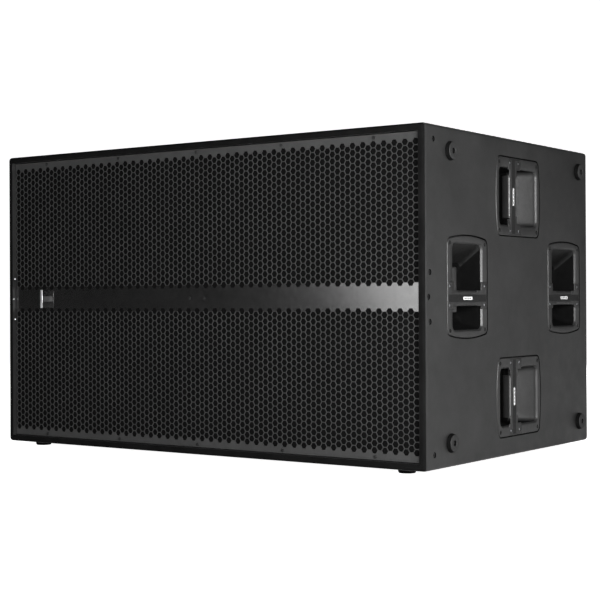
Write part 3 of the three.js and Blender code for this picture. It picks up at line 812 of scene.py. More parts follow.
def cabinet_walls():
    """One rounded shell, mitred along its long edges into four coated panels."""
    inner_low = Vector((BODY_LOW.x + WALL, BODY_LOW.y - 5, BODY_LOW.z + WALL))
    inner_high = Vector((BODY_HIGH.x - WALL, BODY_HIGH.y + 5, BODY_HIGH.z - WALL))
    shell = carved(block(BODY_LOW, BODY_HIGH, EDGE_RADIUS, 6), block(inner_low, inner_high))
    walls = {"top": (0, 1), "bottom": (0, -1), "right": (1, 0), "left": (-1, 0)}
    for name, (east, north) in walls.items():
        wall = shell.copy()
        for turn in (1, -1):
            corner = Vector((east or turn, 0, north or turn))
            edge = Vector(
                (
                    BODY_HIGH.x if corner.x > 0 else BODY_LOW.x,
                    0,
                    BODY_HIGH.z if corner.z > 0 else BODY_LOW.z,
                )
            )
            keep = Vector((east, 0, north)) - Vector((corner.x - east, 0, corner.z - north))
            cut = bmesh.ops.bisect_plane(
                wall,
                geom=wall.verts[:] + wall.edges[:] + wall.faces[:],
                plane_co=edge,
                plane_no=-keep,
                clear_outer=True,
            )
            rim = [e for e in cut["geom_cut"] if isinstance(e, bmesh.types.BMEdge)]
            bmesh.ops.edgenet_fill(wall, edges=rim)
        heal(wall)
        if east:
            for tool in side_cuts(name):
                wall = carved(wall, tool)
            # Faces inside the rebates, mouth cuts and screw bores get painted shade.
            marked(wall, 2, in_rebate_shade)
        # The forward-facing front rim gets the painted-shade coat.
        marked(wall, 1, in_shaded_front_rim)
        node = f"{name}_side_panel" if east else f"{name}_panel"
        piece(f"coated_{node}", wall, COAT, replaces=[node], others=[SHADED_RIM_COAT, PAINTED_SHADE])
    shell.free()


def panel_screws():
    for side in SIDES:
        floor = -SCREW_BORE["depth"]
        places = [at(place, side) for place in panel_screw_places(side)]
        heads = placed(moved(socket_head(4.6, 3.2), Matrix.Translation((0, 0, floor))), places)
        piece(f"{side}_panel_screws", heads, BLACK_STEEL)


def rear_wall():
    """The rear panel with the amplifier's opening and rounded edges."""
    margin = 2.0
    opening = outline(
        PLATE_HIGH.x - PLATE_LOW.x + 2 * margin,
        PLATE_HIGH.z - PLATE_LOW.z + 2 * margin,
        6,
    )
    middle = (PLATE_LOW + PLATE_HIGH) / 2
    tool = moved(slab(opening, -50, 50), at((middle.x, REAR_HIGH.y, middle.z), "rear"))
    wall = carved(block(REAR_LOW, REAR_HIGH, 1.5, 3), tool)
    piece("coated_rear_panel", wall, COAT, replaces=["rear_panel"])


# ---------- handles ----------

GRIP = {"centre": -24.0, "width": 33.0, "depth": 24.0, "reach": 46.7, "corner": 9.0}
PLATE_END = {"centre": -18.5, "length": 57.0, "inner": 60.0, "outer": 83.0, "thickness": 3.0}
GRIP_SCREW = {"across": 75.0, "along": 20.0, "radius": 4.0, "sunk": 2.6}
CORNER_SCREW = {"across": 75.25, "along": 90.75, "radius": 4.6, "sunk": 4.0}
BOSS = {"inner": 47.0, "outer": 66.5, "low": -53.0, "high": 41.0, "depth": 22.0}
# The pocket's levels: height, and where its plain end and its sloping end lie.
POCKET = [
    (-5, -90, 90),
    (-9, -89, 85),
    (-46, -80.5, 57.5),
    (-54, -74, 52),
    (-59.5, -69, 44),
    (-62, -64, 36),
]
BAND = 7.6
LIP = 3.6
LIP_FOOT = -3.6
SHELL = 3.0
ALONG_X = Matrix(((0, 0, 1, 0), (1, 0, 0, 0), (0, 1, 0, 0), (0, 0, 0, 1)))


def pocket_ring(height, low, high, grow=0.0):
    """The pocket's outline at one depth, where its two ends are at low and high."""
    width = MOUTH["width"] + 2 * grow
    return outline(width, high - low + 2 * grow, MOUTH["corner"] + grow, middle=(low + high) / 2), height


def flange_ring(inset, height):
    size = (FLANGE["width"] - 2 * inset, FLANGE["length"] - 2 * inset, FLANGE["corner"], FLANGE["bulge"])
    return outline(*size), height


def corner_places(across, along, middle=0.0, height=0.0):
    corners = [(x, y) for x in (-1, 1) for y in (-1, 1)]
    return [Matrix.Translation((x * across, middle + y * along, height)) for x, y in corners]


def end_pieces(grow, bottom, top, edge):
    """The grip's two flat ends, or with some growth the seats that they lie in."""
    shapes = []
    for side in (-1, 1):
        plate_x = sorted((side * (PLATE_END["inner"] - grow), side * (PLATE_END["outer"] + grow)))
        neck_x = sorted((side * (GRIP["reach"] - 4), side * (PLATE_END["inner"] + 3)))
        plate_half = PLATE_END["length"] / 2 + grow
        neck_half = GRIP["width"] / 2 + grow
        plate_y = (PLATE_END["centre"] - plate_half, PLATE_END["centre"] + plate_half)
        neck_y = (GRIP["centre"] - neck_half, GRIP["centre"] + neck_half)
        for (x0, x1), (y0, y1), sink in ((plate_x, plate_y, 0.12), (neck_x, neck_y, 0.2)):
            shapes.append(block((x0, y0, bottom), (x1, y1, top - sink), edge, 3))
    return shapes


def is_slope(centre, normal):
    """Whether a face of the cup is on the pocket's sloping end, which gets painted shade."""
    return normal.y < -0.3 and normal.z > 0.1 and centre.y > 44 and -56 < centre.z < -4.8


def is_shaded(centre, normal):
    """Whether a face of the cup is deep in the pocket, other than on its slope; these faces get painted
    shade.
    """
    return centre.z < -4.8 and not is_slope(centre, normal)


def handle_cup(boss_sides):
    """Flange, chamfered lip and scooped pocket in one skin, with bosses and seats for the grip."""
    hidden = [pocket_ring(z - SHELL, low, high, SHELL) for z, low, high in reversed(POCKET[2:])]
    hidden.append(pocket_ring(-FLANGE["depth"], *POCKET[0][1:], SHELL))
    flange = [
        flange_ring(inset, height)
        for inset, height in ((0, -FLANGE["depth"]), (0, -1.3), (0.25, -0.5), (0.7, -0.12), (1.5, 0))
    ]
    chamfer = [(LIP, 0), (LIP - 0.3, -0.1), (LIP - 0.6, -0.35), (0.35, LIP_FOOT), (0, LIP_FOOT - 0.4)]
    lip = [pocket_ring(height, *POCKET[0][1:], reach) for reach, height in chamfer]
    pocket = [pocket_ring(*level) for level in POCKET]
    cup = lofted(hidden + flange + lip + pocket)
    for side in boss_sides:
        inner, outer = sorted((side * BOSS["inner"], side * BOSS["outer"]))
        low = (inner, BOSS["low"], -BOSS["depth"])
        cup = carved(cup, block(low, (outer, BOSS["high"], -0.03), 2.6, 4), "UNION")
    for seat in end_pieces(0.5, -PLATE_END["thickness"] - 0.2, 3, 0):
        cup = carved(cup, seat)
    bore = rod(CORNER_SCREW["radius"], -CORNER_SCREW["sunk"], 2, 24)
    cup = carved(cup, placed(bore, corner_places(CORNER_SCREW["across"], CORNER_SCREW["along"])))
    # Deep pocket walls get painted shade, and the slope a darker plastic as painted shade.
    return marked(marked(cup, 1, is_shaded), 2, is_slope)


def grip_section():
    """The bar's section: a flat face, a groove and a rounded band each side, and a round back."""
    flat, sunk = 7.8, 1.1
    half = GRIP["width"] / 2
    face = [(0, -0.2), (flat, -0.2), (flat + 0.25, -sunk), (flat + 1.1, -sunk), (flat + 1.4, -0.15)]
    shoulder = arc((half - 6, -6.0), 6, 80, 0, 6)
    back = arc((half - GRIP["corner"], GRIP["corner"] - GRIP["depth"]), GRIP["corner"], 0, -90, 6)
    right = face[1:] + shoulder + back
    return right + [(-x, y) for x, y in reversed(right)]


def is_band_or_shaded(centre, normal):
    """Whether a face of the grip is on its middle band, or deep in the pocket where it gets painted shade.
    """
    return centre.z > -0.09 or centre.z < -8


def handle_grip():
    section = [(GRIP["centre"] + y, z) for y, z in grip_section()]
    bar = lofted([(section, -GRIP["reach"]), (section, GRIP["reach"])])
    whole = moved(bar, ALONG_X)
    for end in end_pieces(0, -PLATE_END["thickness"], 0, 0.8):
        whole = carved(whole, end, "UNION")
    low = (-PLATE_END["outer"] + 1, GRIP["centre"] - BAND, -1)
    whole = carved(whole, block(low, (PLATE_END["outer"] - 1, GRIP["centre"] + BAND, -0.08)), "UNION")
    sinks = corner_places(GRIP_SCREW["across"], GRIP_SCREW["along"], PLATE_END["centre"])
    whole = carved(whole, placed(rod(GRIP_SCREW["radius"], -GRIP_SCREW["sunk"], 2, 24), sinks))
    return marked(whole, 1, is_band_or_shaded)


def grip_label():
    """A small printed plate on the grip's flat face, with plain dashes."""
    lift = Matrix.Translation((0, GRIP["centre"], 0))
    plate = moved(slab(outline(6.4, 39, 1.6), -0.4, -0.04), lift @ Matrix.Rotation(math.pi / 2, 4, "Z"))
    dash = block((-2.6, -1.1, -0.3), (2.6, 1.1, 0))
    dashes = placed(dash, [Matrix.Translation((x, GRIP["centre"], 0)) for x in (-12, -4, 4, 12)])
    return plate, dashes


def handles():
    label, dashes = grip_label()
    bright_places = corner_places(
        GRIP_SCREW["across"], GRIP_SCREW["along"], PLATE_END["centre"], -GRIP_SCREW["sunk"]
    )
    dark_places = corner_places(
        CORNER_SCREW["across"], CORNER_SCREW["along"], height=-CORNER_SCREW["sunk"]
    )
    bright = placed(cross_head(3.5, 1.9), bright_places)
    dark = placed(cross_head(4.1, 2.0), dark_places)
    shapes = (
        ("moulded_grip", handle_grip(), GRIP_PLASTIC, [GRIP_BAND_AND_SHADE], "handle_plastic", "grip"),
        ("grip_screws", bright, ZINC, (), "housing_steel", None),
        ("corner_screws", dark, BLACK_STEEL, (), "grille_metal", None),
        ("label", label, LABEL_WHITE, (), "badge_metal", None),
        ("label_dashes", dashes, BADGE_BLACK, (), "badge_metal", None),
    )
    plain_cup = handle_cup(())
    for side, sign in SIDES.items():
        for name in HANDLES:
            matrix = handle_matrix(side, name)
            start = f"{side}_{name}_handle"
            cup = moved(handle_cup((-sign,)) if name == "front" else plain_cup.copy(), matrix)
            # The slopes get painted shade: the grip band's dark colour on the upper and lower handles, the
            # darker handle plastic on the front and rear ones.
            slope = GRIP_BAND_AND_SHADE if name in ("upper", "lower") else SHADED_SLOPE_PLASTIC
            cup_name = f"{start}_moulded_cup"
            taken = [f"{start}_cup"]
            piece(cup_name, cup, HANDLE_PLASTIC, replaces=taken, others=[PAINTED_SHADE, slope])
            for end, shape, material, others, slot, node in shapes:
                taken = [f"{start}_{node}"] if node else []
                copy = moved(shape.copy(), matrix)
                piece(f"{start}_{end}", copy, material, replaces=taken, others=others)
    plain_cup.free()
    for _, shape, *_ in shapes:
        shape.free()


# ---------- feet ----------

FOOT = {"base": 20.0, "face": 18.0, "height": BODY_LOW.z, "bore": 6.0, "bore_depth": 6.0}


def foot_shape():
    """A turned rubber buffer with a soft rim, a moulding step and a screw bore; its sides and bore get
    painted shade.
    """
    rim = arc((FOOT["face"] - 2, FOOT["height"] - 2), 2, 10, 90, 5)
    mouth = arc((FOOT["bore"] + 1, FOOT["height"] - 1), 1, 90, 180, 3)
    floor = FOOT["height"] - FOOT["bore_depth"]
    profile = [(0, 0.3), (FOOT["base"] - 0.6, 0.3), (FOOT["base"], 0.9), (FOOT["base"], 2.2)]
    profile += [(FOOT["base"] - 0.7, 2.9), *rim, *mouth, (FOOT["bore"], floor), (0, floor)]
    return marked(turned(profile, 48), 1, lambda centre, normal: centre.z < FOOT["height"] - 1.2)


def feet():
    places = {}
    for side in SIDES:
        for end in ("front", "rear"):
            places[f"{end}_{side}_bottom_foot"] = "down"
    for level in ("lower", "upper"):
        for end in ("front", "rear"):
            places[f"{level}_{end}_side_foot"] = "right"
    rubber = foot_shape()
    floor = FOOT["height"] - FOOT["bore_depth"]
    washer = turned([(2.6, floor), (5.6, floor), (5.6, floor + 0.8), (2.6, floor + 0.8)], 28, closed=True)
    screw = joined(washer, moved(cross_head(4.2, 2.4), Matrix.Translation((0, 0, floor + 0.8))))
    for node, facing in places.items():
        low, high = corners_of(node)
        seat = (low + high) / 2
        if facing == "down":
            seat.z = BODY_LOW.z
        else:
            seat.x = BODY_HIGH.x
        matrix = at(seat, facing)
        shape = moved(rubber.copy(), matrix)
        # The foot's sides and bore get painted shade.
        piece(f"moulded_{node}", shape, RUBBER, replaces=[node], others=[PAINTED_SHADE])
        piece(f"{node}_screw", moved(screw.copy(), matrix), BLACK_STEEL)
    rubber.free()
    screw.free()


# ---------- grille ----------

HOLE = {"pitch": 14.6, "flats": 13.1}
COLUMN = HOLE["pitch"] * math.sqrt(3) / 2
FIRST_ROW = 2 * HOLE["pitch"]  # the lowest hole of an even column, above the middle
ROWS = 20
SHEET = 1.5


def honeycomb_cell(x, z, target):
    corner = HOLE["pitch"] / math.sqrt(3)
    matrix = at((x, GRILLE_LOW.y, z), "front") @ Matrix.Rotation(math.pi / 6, 4, "Z")
    bmesh.ops.create_circle(target, cap_ends=True, segments=6, radius=corner, matrix=matrix)


def perforated_sheet():
    """The grille's face: welded hexagon cells, each inset, opened and given thickness."""
    middle = (GRILLE_LOW + GRILLE_HIGH) / 2
    half_width = (GRILLE_HIGH.x - GRILLE_LOW.x) / 2
    half_height = (GRILLE_HIGH.z - GRILLE_LOW.z) / 2
    columns = math.ceil(half_width / COLUMN)
    bm = bmesh.new()
    for column in range(-columns, columns + 1):
        shift = FIRST_ROW + (column % 2) * HOLE["pitch"] / 2
        rows = range(math.floor((-half_height - shift) / HOLE["pitch"]), ROWS + 2)
        for row in rows:
            honeycomb_cell(middle.x + column * COLUMN, middle.z + shift + row * HOLE["pitch"], bm)
    bmesh.ops.remove_doubles(bm, verts=bm.verts, dist=0.05)
    first = FIRST_ROW - 1
    last = FIRST_ROW + (ROWS - 0.5) * HOLE["pitch"] + 1
    holes = [f for f in bm.faces if first < abs(f.calc_center_median().z - middle.z) < last]
    bmesh.ops.inset_individual(
        bm,
        faces=holes,
        thickness=(HOLE["pitch"] - HOLE["flats"]) / 2,
        use_even_offset=True,
    )
    bmesh.ops.delete(bm, geom=holes, context="FACES")
    for axis, reach in ((Vector((1, 0, 0)), half_width), (Vector((0, 0, 1)), half_height)):
        for side in (-1, 1):
            bmesh.ops.bisect_plane(
                bm,
                geom=bm.verts[:] + bm.edges[:] + bm.faces[:],
                plane_co=middle + axis * side * reach,
                plane_no=axis * side,
                clear_outer=True,
            )
    back = bmesh.ops.extrude_face_region(bm, geom=bm.faces[:])
    verts = [v for v in back["geom"] if isinstance(v, bmesh.types.BMVert)]
    bmesh.ops.translate(bm, verts=verts, vec=(0, SHEET, 0))
    bmesh.ops.recalc_face_normals(bm, faces=bm.faces)
    return marked(bm, 1, lambda centre, normal: first < abs(centre.z - middle.z))


def grille_folds():
    """The four folded edges, the side ones cut away round the middle screws."""
    low = Vector((GRILLE_LOW.x, GRILLE_LOW.y + SHEET, GRILLE_LOW.z))
    high = GRILLE_HIGH.copy()
    middle = (low + high) / 2
    inset = Vector((SHEET, -1, SHEET))
    ring = carved(block(low, high), block(low + inset, high - inset))
    notch = block((low.x - 5, low.y - 0.01, middle.z - 62), (high.x + 5, high.y + 1, middle.z + 62))
    return carved(ring, notch)


def grille():
    piece(
        "hexagon_grille",
        joined(perforated_sheet(), grille_folds()),
        GRILLE_PAINT,
        replaces=["grille"],
        smooth=30,
        others=[WEB_PAINT],
    )
    middle = (GRILLE_LOW + GRILLE_HIGH) / 2
    edge = (GRILLE_HIGH.z - GRILLE_LOW.z) / 2 - 6.2
    places = [(x, z) for x in (-470, -235, 0, 235, 470) for z in (-edge, edge)] + [(-21, 0), (21, 0)]
    heads = placed(
        socket_head(3.8, 1.8),
        [at((middle.x + x, GRILLE_LOW.y, middle.z + z), "front") for x, z in places],
    )
    piece("grille_screws", heads, BLACK_STEEL)


def foam_sheet():
    """The black foam behind the grille, with softened edges."""
    sheet = block(FOAM_LOW, FOAM_HIGH, 1.2, 2)
    long_edges = [e for e in sheet.edges if e.calc_length() > 300]
    bmesh.ops.subdivide_edges(sheet, edges=long_edges, cuts=12, use_grid_fill=True)
    obj = piece("cut_grille_foam", sheet, FOAM, replaces=["grille_foam"])


def edge_clips():
    """Three small bright fixings on each side wall, in the grille's cut-away."""
    for side, sign in SIDES.items():
        wall = (BODY_HIGH.x - WALL) if sign > 0 else (BODY_LOW.x + WALL)
        facing = "left" if sign > 0 else "right"
        spots = ((4, 0), (8, 50), (8, -50))
        places = [at((wall, BODY_LOW.y + back, BODY_MIDDLE.z + up), facing) for back, up in spots]
        piece(f"{side}_edge_fixings", placed(cross_head(2.4, 1.3), places), ZINC)


def badge():
    """A silver bar beside a black tile with a plain grey strip."""
    low, high = corners_of("badge")
    bar_right = low.x + 7.5
    tile = block((bar_right + 0.6, low.y + 0.4, low.z + 1), (high.x, high.y, high.z - 1), 0.7, 3)
    bar = block((low.x, low.y, low.z), (bar_right, high.y, high.z), 0.8, 3)
    middle = (low + high) / 2
    strip = block(
        (bar_right + 2.5, low.y + 0.2, middle.z - 6.5),
        (high.x - 4, low.y + 0.6, middle.z + 6.5),
        0.15,
        2,
    )
    piece("badge_bar", bar, SILVER, replaces=["badge"])
    piece("badge_tile", tile, BADGE_BLACK)
    piece("badge_strip", strip, BADGE_GREY)


# ---------- inside: woofers and ports ----------

WOOFER = {"flange": 270.0, "throat": 236.0, "cone": 198.0, "coil": 58.5, "depth": 84.0, "cap": 84.0}


def woofer_matrix(side):
    low, high = corners_of(f"{side}_woofer_basket")
    middle = (low + high) / 2
    return at((middle.x, BAFFLE_LOW.y, middle.z), "rear")


def cone_height(radius):
    return -9 + (WOOFER["cone"] - radius) * WOOFER["depth"] / (WOOFER["cone"] - WOOFER["coil"])


def cone_shape():
    """A slightly curved paper cone with pressed rings and the voice coil's former."""
    steps = 24
    front = []
    for n in range(steps + 1):
        radius = WOOFER["cone"] + (WOOFER["coil"] - WOOFER["cone"]) * n / steps
        ring = 0.5 if n % 6 == 3 else 0
        front.append((radius, cone_height(radius) - ring))
    end = 150
    neck = cone_height(WOOFER["coil"])
    back = [(radius, height + 2.2) for radius, height in reversed(front[:-1])]
    former = [(WOOFER["coil"] - 1.2, neck), (WOOFER["coil"] - 1.2, end), (WOOFER["coil"], end)]
    return turned(front[:-1] + former + [(WOOFER["coil"], neck + 3.4)] + back, 72, closed=True)


def cap_shape():
    """A domed dust cap with a glue rim."""
    rise = 28
    sphere = (WOOFER["cap"] ** 2 + rise**2) / (2 * rise)
    rim = cone_height(WOOFER["cap"]) - 1.4
    radii = [WOOFER["cap"] * n / 12 for n in range(13)]
    dome = [(r, rim - rise + sphere - math.sqrt(sphere**2 - r**2)) for r in radii]
    inside = [(max(r - 1, 0), z + 1.6) for r, z in reversed(dome)]
    return turned(dome + inside, 72)


def surround_shape():
    """The half-roll and its basket lip, which stay with the basket."""
    centre, crown = WOOFER["cone"] + 16.05, -10.3
    roll = arc((centre, crown - 1.5), 14.2, 180, 360, 16)
    outside = arc((centre, crown - 1.5), 15.6, 180, 360, 16)
    outer = WOOFER["throat"] + 15
    profile = [*roll, (outer, crown), (outer, crown - 1.5), *reversed(outside)]
    return turned(profile, 96, closed=True)


def surround_lip_shape():
    """The glued lip of the surround, which moves with the cone."""
    lip = [(WOOFER["cone"] - 10, -16.0), (WOOFER["cone"] - 4, -14.5), (WOOFER["cone"] + 0.2, -12.6)]
    under = [(radius, height - 1.4) for radius, height in reversed(lip)]
    return turned(lip + under, 96, closed=True)


def spider_shape():
    """A pleated centring disc with a flat glued rim."""
    start, seat, depth = WOOFER["coil"] + 0.5, 120, 93
    waves = 5
    steps = waves * 8
    ripple = [
        (start + (seat - start) * n / steps, depth - 2.4 * math.sin(TAU * n * waves / steps))
        for n in range(steps + 1)
    ]
    face = ripple + [(131, depth)]
    return turned(face + [(r, z + 0.8) for r, z in reversed(face)], 72, closed=True)


def magnet_shape():
    """Front plate, ferrite ring and rear plate, stepped, with a vented pole."""
    rear = 184.0
    return turned(
        [
            (16, 118.6),
            (55, 118.6),
            (55.5, 119.1),
            (55.5, 171),
            (61.5, 171),
            (61.5, 119.1),
            (62, 118.6),
            (92, 118.6),
            (94, 120.6),
            (94, 129),
            (100, 129),
            (100, 170),
            (94, 170),
            (94, 181),
            (91, rear),
            (20, rear),
            (16, 180),
        ],
        64,
        closed=True,
    )


def woofers():
    """Both woofers: their moving pieces ride on the cone's own body."""
    shapes = (
        ("moulded_cone", cone_shape(), CONE_PAPER, "cone_paper", "{side}_cone", "cone"),
        ("pressed_dust_cap", cap_shape(), CONE_PAPER, "cone_paper", "{side}_cone", "dust_cap"),
        ("half_roll_surround", surround_shape(), SURROUND_RUBBER, "surround_rubber", "cabinet", "surround"),
        ("surround_lip", surround_lip_shape(), SURROUND_RUBBER, "surround_rubber", "{side}_cone", None),
        ("pleated_spider", spider_shape(), SPIDER_CLOTH, "spider_cloth", "cabinet", "spider"),
        ("stacked_magnet", magnet_shape(), MAGNET_STEEL, "magnet_metal", "cabinet", "magnet"),
    )
    out = Matrix.Translation((258, 0, -13.6))
    turns = [Matrix.Rotation(TAU * (n + 0.5) / 8, 4, "Z") for n in range(8)]
    heads = placed(socket_head(6, 3.6), [turn @ out for turn in turns])
    for side in SIDES:
        matrix = woofer_matrix(side)
        for name, shape, material, slot, body, node in shapes:
            piece(
                f"{side}_{name}",
                moved(shape.copy(), matrix),
                material,
                body=body.format(side=side),
                replaces=[f"{side}_woofer_{node}"] if node else (),
            )
        piece(f"{side}_woofer_bolts", moved(heads.copy(), matrix), BLACK_STEEL)
        dress(f"{side}_woofer_basket", CAST_PAINT)
    for _, shape, *_ in shapes:
        shape.free()
    heads.free()


def port_shape():
    """A tube whose mouth flares out over a lip."""
    mouth = arc((66, 12), 16, 180, 250, 6)
    inside = [(50, 200)] + [(r, z) for r, z in mouth if r < 57]
    return turned(inside + [(57, -1.8), (57, -0.3), (53, -0.3), (53, 200)], 64, closed=True)


def ports():
    shape = port_shape()
    for side in SIDES:
        for level in ("lower", "upper"):
            node = f"{level}_{side}_port"
            low, high = corners_of(node)
            middle = (low + high) / 2
            matrix = at((middle.x, BAFFLE_LOW.y, middle.z), "rear")
            port = moved(shape.copy(), matrix)
            piece(f"flared_{node}", port, PORT_PLASTIC, replaces=[node])
    shape.free()


def inside_of_cabinet():
    dress("centre_brace", BARE_PLY)
    for node in ("front_baffle", "grille_batten_frame", "amp_batten_frame"):
        dress(node, COAT)
    dress("amp_housing", HOUSING_STEEL)


# ---------- amplifier ----------

PLATE_THICKNESS = 3.0
PLATE_FACE = PLATE_LOW.y + PLATE_THICKNESS
BOARD_LOW, BOARD_HIGH = corners_of("input_board")
CONTROL_X = (BOARD_LOW.x + BOARD_HIGH.x) / 2
SOCKET_Z = BOARD_HIGH.z - 30.0
SOCKET = {"radius": 12.2, "width": 26.0, "height": 31.0, "pitch": 44.0, "thickness": 1.6}
SOCKET_PLACES = [CONTROL_X + n * SOCKET["pitch"] for n in (-1.5, -0.5, 0.5, 1.5)]
KNOB_FOOT = PLATE_FACE + 1.0  # where a knob's skirt starts
PRINT = 0.12  # how far the white print stands out


def middle_of(node):
    low, high = corners_of(node)
    return (low + high) / 2


def on_plate(x, z, lift=0.0):
    """The matrix of a fitting that stands on the outside of the amplifier's plate."""
    return at((x, PLATE_FACE + lift, z), "rear")


def plate_screws():
    low = PLATE_LOW + Vector((9, 0, 9))
    high = PLATE_HIGH - Vector((9, 0, 9))
    step_x = (high.x - low.x) / 5
    step_z = (high.z - low.z) / 3
    places = [(low.x + n * step_x, z) for n in range(6) for z in (low.z, high.z)]
    places += [(x, low.z + n * step_z) for n in (1, 2) for x in (low.x, high.x)]
    piece(
        "amp_plate_screws",
        placed(cross_head(3.8, 2.0), [on_plate(x, z) for x, z in places]),
        BLACK_STEEL,
    )


def signal_sockets():
    """The flanges, screws and release tabs round the four signal sockets."""
    rim = slab(outline(SOCKET["width"], SOCKET["height"], 3), 0, SOCKET["thickness"], 0.5)
    flange = carved(rim, rod(SOCKET["radius"], -1, 5, 40))
    flanges = placed(flange, [on_plate(x, SOCKET_Z) for x in SOCKET_PLACES])
    piece("signal_socket_flanges", flanges, SOCKET_PLASTIC)
    heads = [
        on_plate(x + side * 10, SOCKET_Z + side * 12.6, SOCKET["thickness"])
        for x in SOCKET_PLACES
        for side in (-1, 1)
    ]
    piece("signal_socket_screws", placed(cross_head(1.9, 1.0), heads), ZINC)
    tab = block((-3.2, -1.6, 0), (3.2, 1.6, 2.4), 0.5, 2)
    tabs = placed(tab, [on_plate(x, SOCKET_Z + 13.4) for x in SOCKET_PLACES[:2]])
    piece("signal_release_tabs", tabs, ZINC)


def mains_fittings():
    """The flange screws and the three contacts of both mains sockets."""
    for node in ("mains_inlet", "mains_link"):
        middle = middle_of(node)
        heads = [on_plate(middle.x + x * 12.6, middle.z + z * 12.6, 2.0) for x, z in ((-1, 1), (1, -1))]
        piece(f"{node}_screws", placed(cross_head(2.1, 1.1), heads), BLACK_STEEL)
        blade = block((-0.9, -3.0, 0), (0.9, 3.0, 1.5), 0.3, 2)
        ring = placed(
            moved(blade, Matrix.Translation((8.2, 0, 0))),
            [Matrix.Rotation(TAU * n / 3, 4, "Z") for n in range(3)],
        )
        blades = moved(ring, on_plate(middle.x, middle.z, -6.6))
        piece(f"{node}_blades", blades, ZINC)


def knob_shape(radius, height):
    """A fluted knob that stands on z = 0, with a rounded crown."""
    body = rod(radius, 0, height, 48, edge=1.0)
    flute = moved(rod(1.1, 1.2, height + 1, 10), Matrix.Translation((radius + 0.5, 0, 0)))
    body = carved(body, placed(flute, [Matrix.Rotation(TAU * n / 18, 4, "Z") for n in range(18)]))
    return carved(body, rod(radius - 2.4, height - 0.5, height + 1, 40))


def knobs():
    """Fluted knobs with a white line, in place of the plain ones."""
    for name, body in (("level", "level_control"), ("encoder", "encoder_control")):
        node = f"{name}_knob"
        low, high = corners_of(node)
        middle = (low + high) / 2
        stand = at((middle.x, KNOB_FOOT, middle.z), "rear")
        height = high.y - 0.6 - KNOB_FOOT
        shaft = rod(3.0, low.y - KNOB_FOOT, 1, 24)
        whole = carved(knob_shape((high.x - low.x) / 2, height), shaft, "UNION")
        piece(f"fluted_{node}", moved(whole, stand), SOCKET_PLASTIC, body, [node])
        line = block((-0.7, -9.4, height - 0.7), (0.7, -3.0, height + 0.2), 0.15, 2)
        piece(f"{node}_line", moved(line, stand), LABEL_WHITE, body)


def printed_marks():
    """White print on the plate: dial dashes, socket lines and a frame, with no lettering."""
    level = middle_of("level_knob")
    encoder = middle_of("encoder_knob")
    button = middle_of("bypass_button")
    dash = block((-0.5, -1.6, 0), (0.5, 1.6, PRINT))
    sweep = [math.radians(-135 + 27 * n) for n in range(11)]
    places = [
        on_plate(knob.x, knob.z) @ Matrix.Rotation(angle, 4, "Z") @ Matrix.Translation((0, -15.5, 0))
        for knob in (level, encoder)
        for angle in sweep
    ]
    marks = placed(dash, places)
    rules = [(x, SOCKET_Z - 21, 30) for x in SOCKET_PLACES]
    rules += [(knob.x, knob.z - 24, 26) for knob in (level, encoder)]
    rules += [(button.x, button.z - 14, 14)]
    rules += [(middle_of(node).x, middle_of(node).z - 24, 34) for node in ("mains_inlet", "mains_link")]
    lines = [
        moved(block((-width / 2, -0.5, 0), (width / 2, 0.5, PRINT)), on_plate(x, z))
        for x, z, width in rules
    ]
    piece("plate_print", joined(marks, *lines), LABEL_WHITE)


def lamps_and_screen():
    """Two green and two red lamps, and a small framed screen."""
    button = middle_of("bypass_button")
    level = middle_of("level_knob")
    lens = rod(1.7, 0, 1.2, 20, edge=0.4)
    rows = [(level.x + 30, level.z + 12 - 8 * n) for n in range(3)]
    green = [on_plate(*place) for place in rows[:2]]
    red = [on_plate(*rows[2]), on_plate(button.x, button.z + 13)]
    piece("green_lamps", placed(lens.copy(), green), GREEN_LAMP)
    piece("red_lamps", placed(lens, red), RED_LAMP)
    window = slab(outline(46, 18, 2), 0, 0.9, 0.3)
    place = on_plate((level.x + button.x) / 2, level.z - 46)
    piece("small_screen", moved(window, place), SCREEN)
    frame_shape = carved(slab(outline(52, 24, 3), 0, 1.4, 0.5), slab(outline(47, 19, 2), -1, 5))
    piece("screen_frame", moved(frame_shape, place), SOCKET_PLASTIC)


def amplifier():
    dress("amp_plate", PLATE_ANODISED)
    dress("input_board", SOCKET_PLASTIC)
    dress("mains_inlet", SOCKET_BLUE)
    dress("mains_link", SOCKET_GREY)
    dress("bypass_button", SOCKET_PLASTIC)
    plate_screws()
    signal_sockets()
    mains_fittings()
    knobs()
    printed_marks()
    lamps_and_screen()


# ---------- stage ----------


def floor_and_backdrop():
    """A pale sweep: a floor that curves up behind the cabinet."""
    bm = bmesh.new()
    profile = [(-9, 0), (6, 0), *arc((6, 4), 4, -90, 0, 12), (10, 12)]
    verts = [bm.verts.new((-14, y, z)) for y, z in profile]
    edges = [bm.edges.new(pair) for pair in zip(verts, verts[1:])]
    swept = bmesh.ops.extrude_edge_only(bm, edges=edges)
    far_side = [v for v in swept["geom"] if isinstance(v, bmesh.types.BMVert)]
    bmesh.ops.translate(bm, verts=far_side, vec=(28, 0, 0))
    bmesh.ops.rotate(bm, verts=bm.verts, cent=(0, 0, 0), matrix=Matrix.Rotation(math.radians(35), 3, "Z"))
    mesh = bpy.data.meshes.new("floor")
    bm.to_mesh(mesh)
    bm.free()
    mesh.polygons.foreach_set("use_smooth", [True] * len(mesh.polygons))
    material, tree, shader = blank_material("pale_floor")
    seen = add(tree, "ShaderNodeLightPath").outputs["Is Camera Ray"]
    tree.links.new(seen, shader.inputs["Emission Strength"])
    set_plain(shader, {"Base Color": (0.8, 0.8, 0.8, 1), "Roughness": 0.9, "Specular IOR Level": 0.1})
    set_plain(shader, {"Emission Color": (1, 1, 1, 1)})
    mesh.materials.append(material)
    obj = bpy.data.objects.new("floor", mesh)
    bpy.context.scene.collection.objects.link(obj)


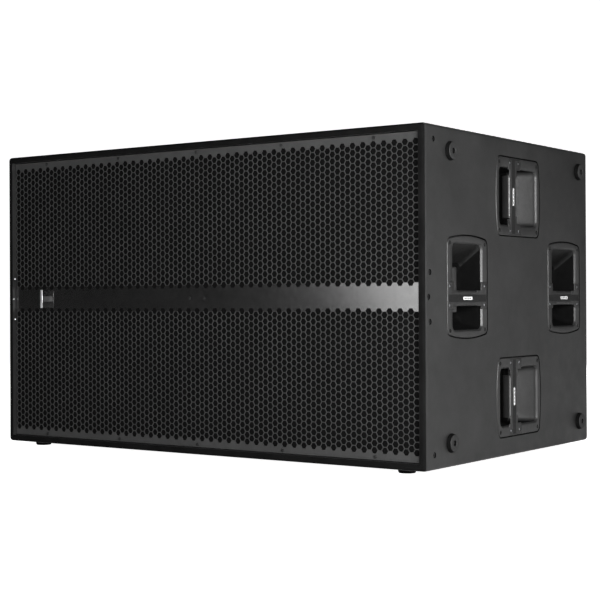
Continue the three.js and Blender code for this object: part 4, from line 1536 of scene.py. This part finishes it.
def softbox(name, place, target, size, power):
    light = bpy.data.lights.new(name, "AREA")
    light.shape = "RECTANGLE"
    light.size, light.size_y = size
    light.energy = power
    obj = bpy.data.objects.new(name, light)
    obj.location = place
    obj.rotation_euler = (Vector(target) - Vector(place)).to_track_quat("-Z", "Z").to_euler()
    bpy.context.scene.collection.objects.link(obj)


def studio():
    softbox("grille_light", (-0.85, -2.95, 0.40), (0.45, -0.4, 0.36), (0.5, 1.3), 13.5)
    softbox("camera_light", (2.6, -3.1, 0.8), (0.5, 0, 0.4), (0.9, 1.4), 120)
    softbox("side_light", (2.9, 2.2, 0.40), (0.6, 0, 0.36), (1.7, 2.2), 8)
    softbox("lip_light", (3.25, -1.35, 0.45), (0.6, 0, 0.36), (1.1, 1.2), 14)
    softbox("near_side_light", (1.75, -1.25, 0.58), (0.6, -0.25, 0.40), (0.3, 0.9), 29)
    softbox("rear_light", (-1.6, 3.6, 1.6), (0, 0.4, 0.4), (1.6, 1.6), 120)
    world = bpy.data.worlds.new("studio")
    world.use_nodes = True
    tree = world.node_tree
    seen = add(tree, "ShaderNodeLightPath").outputs["Is Camera Ray"]
    strength = add(tree, "ShaderNodeMapRange", {"Value": seen, "To Min": 0.03, "To Max": 1.0})
    background = tree.nodes["Background"]
    tree.links.new(strength.outputs["Result"], background.inputs["Strength"])
    background.inputs["Color"].default_value = (1, 1, 1, 1)
    bpy.context.scene.world = world
    bpy.context.scene.view_settings.view_transform = "Standard"


def camera():
    """Front right, level with the cabinet's middle, with a slight roll."""
    data = bpy.data.cameras.new("camera")
    data.sensor_width = 36
    data.lens = 85.235
    data.shift_y = -5 / 600
    data.clip_end = 50
    obj = bpy.data.objects.new("camera", data)
    obj.location = (2.0230, -2.8481, 0.3572)
    obj.rotation_euler = (math.radians(90.158), math.radians(0.262), math.radians(35.292))
    bpy.context.scene.collection.objects.link(obj)
    bpy.context.scene.camera = obj


cabinet_walls()
panel_screws()
rear_wall()
handles()
feet()
grille()
foam_sheet()
edge_clips()
badge()
woofers()
ports()
inside_of_cabinet()
amplifier()
floor_and_backdrop()
studio()
camera()
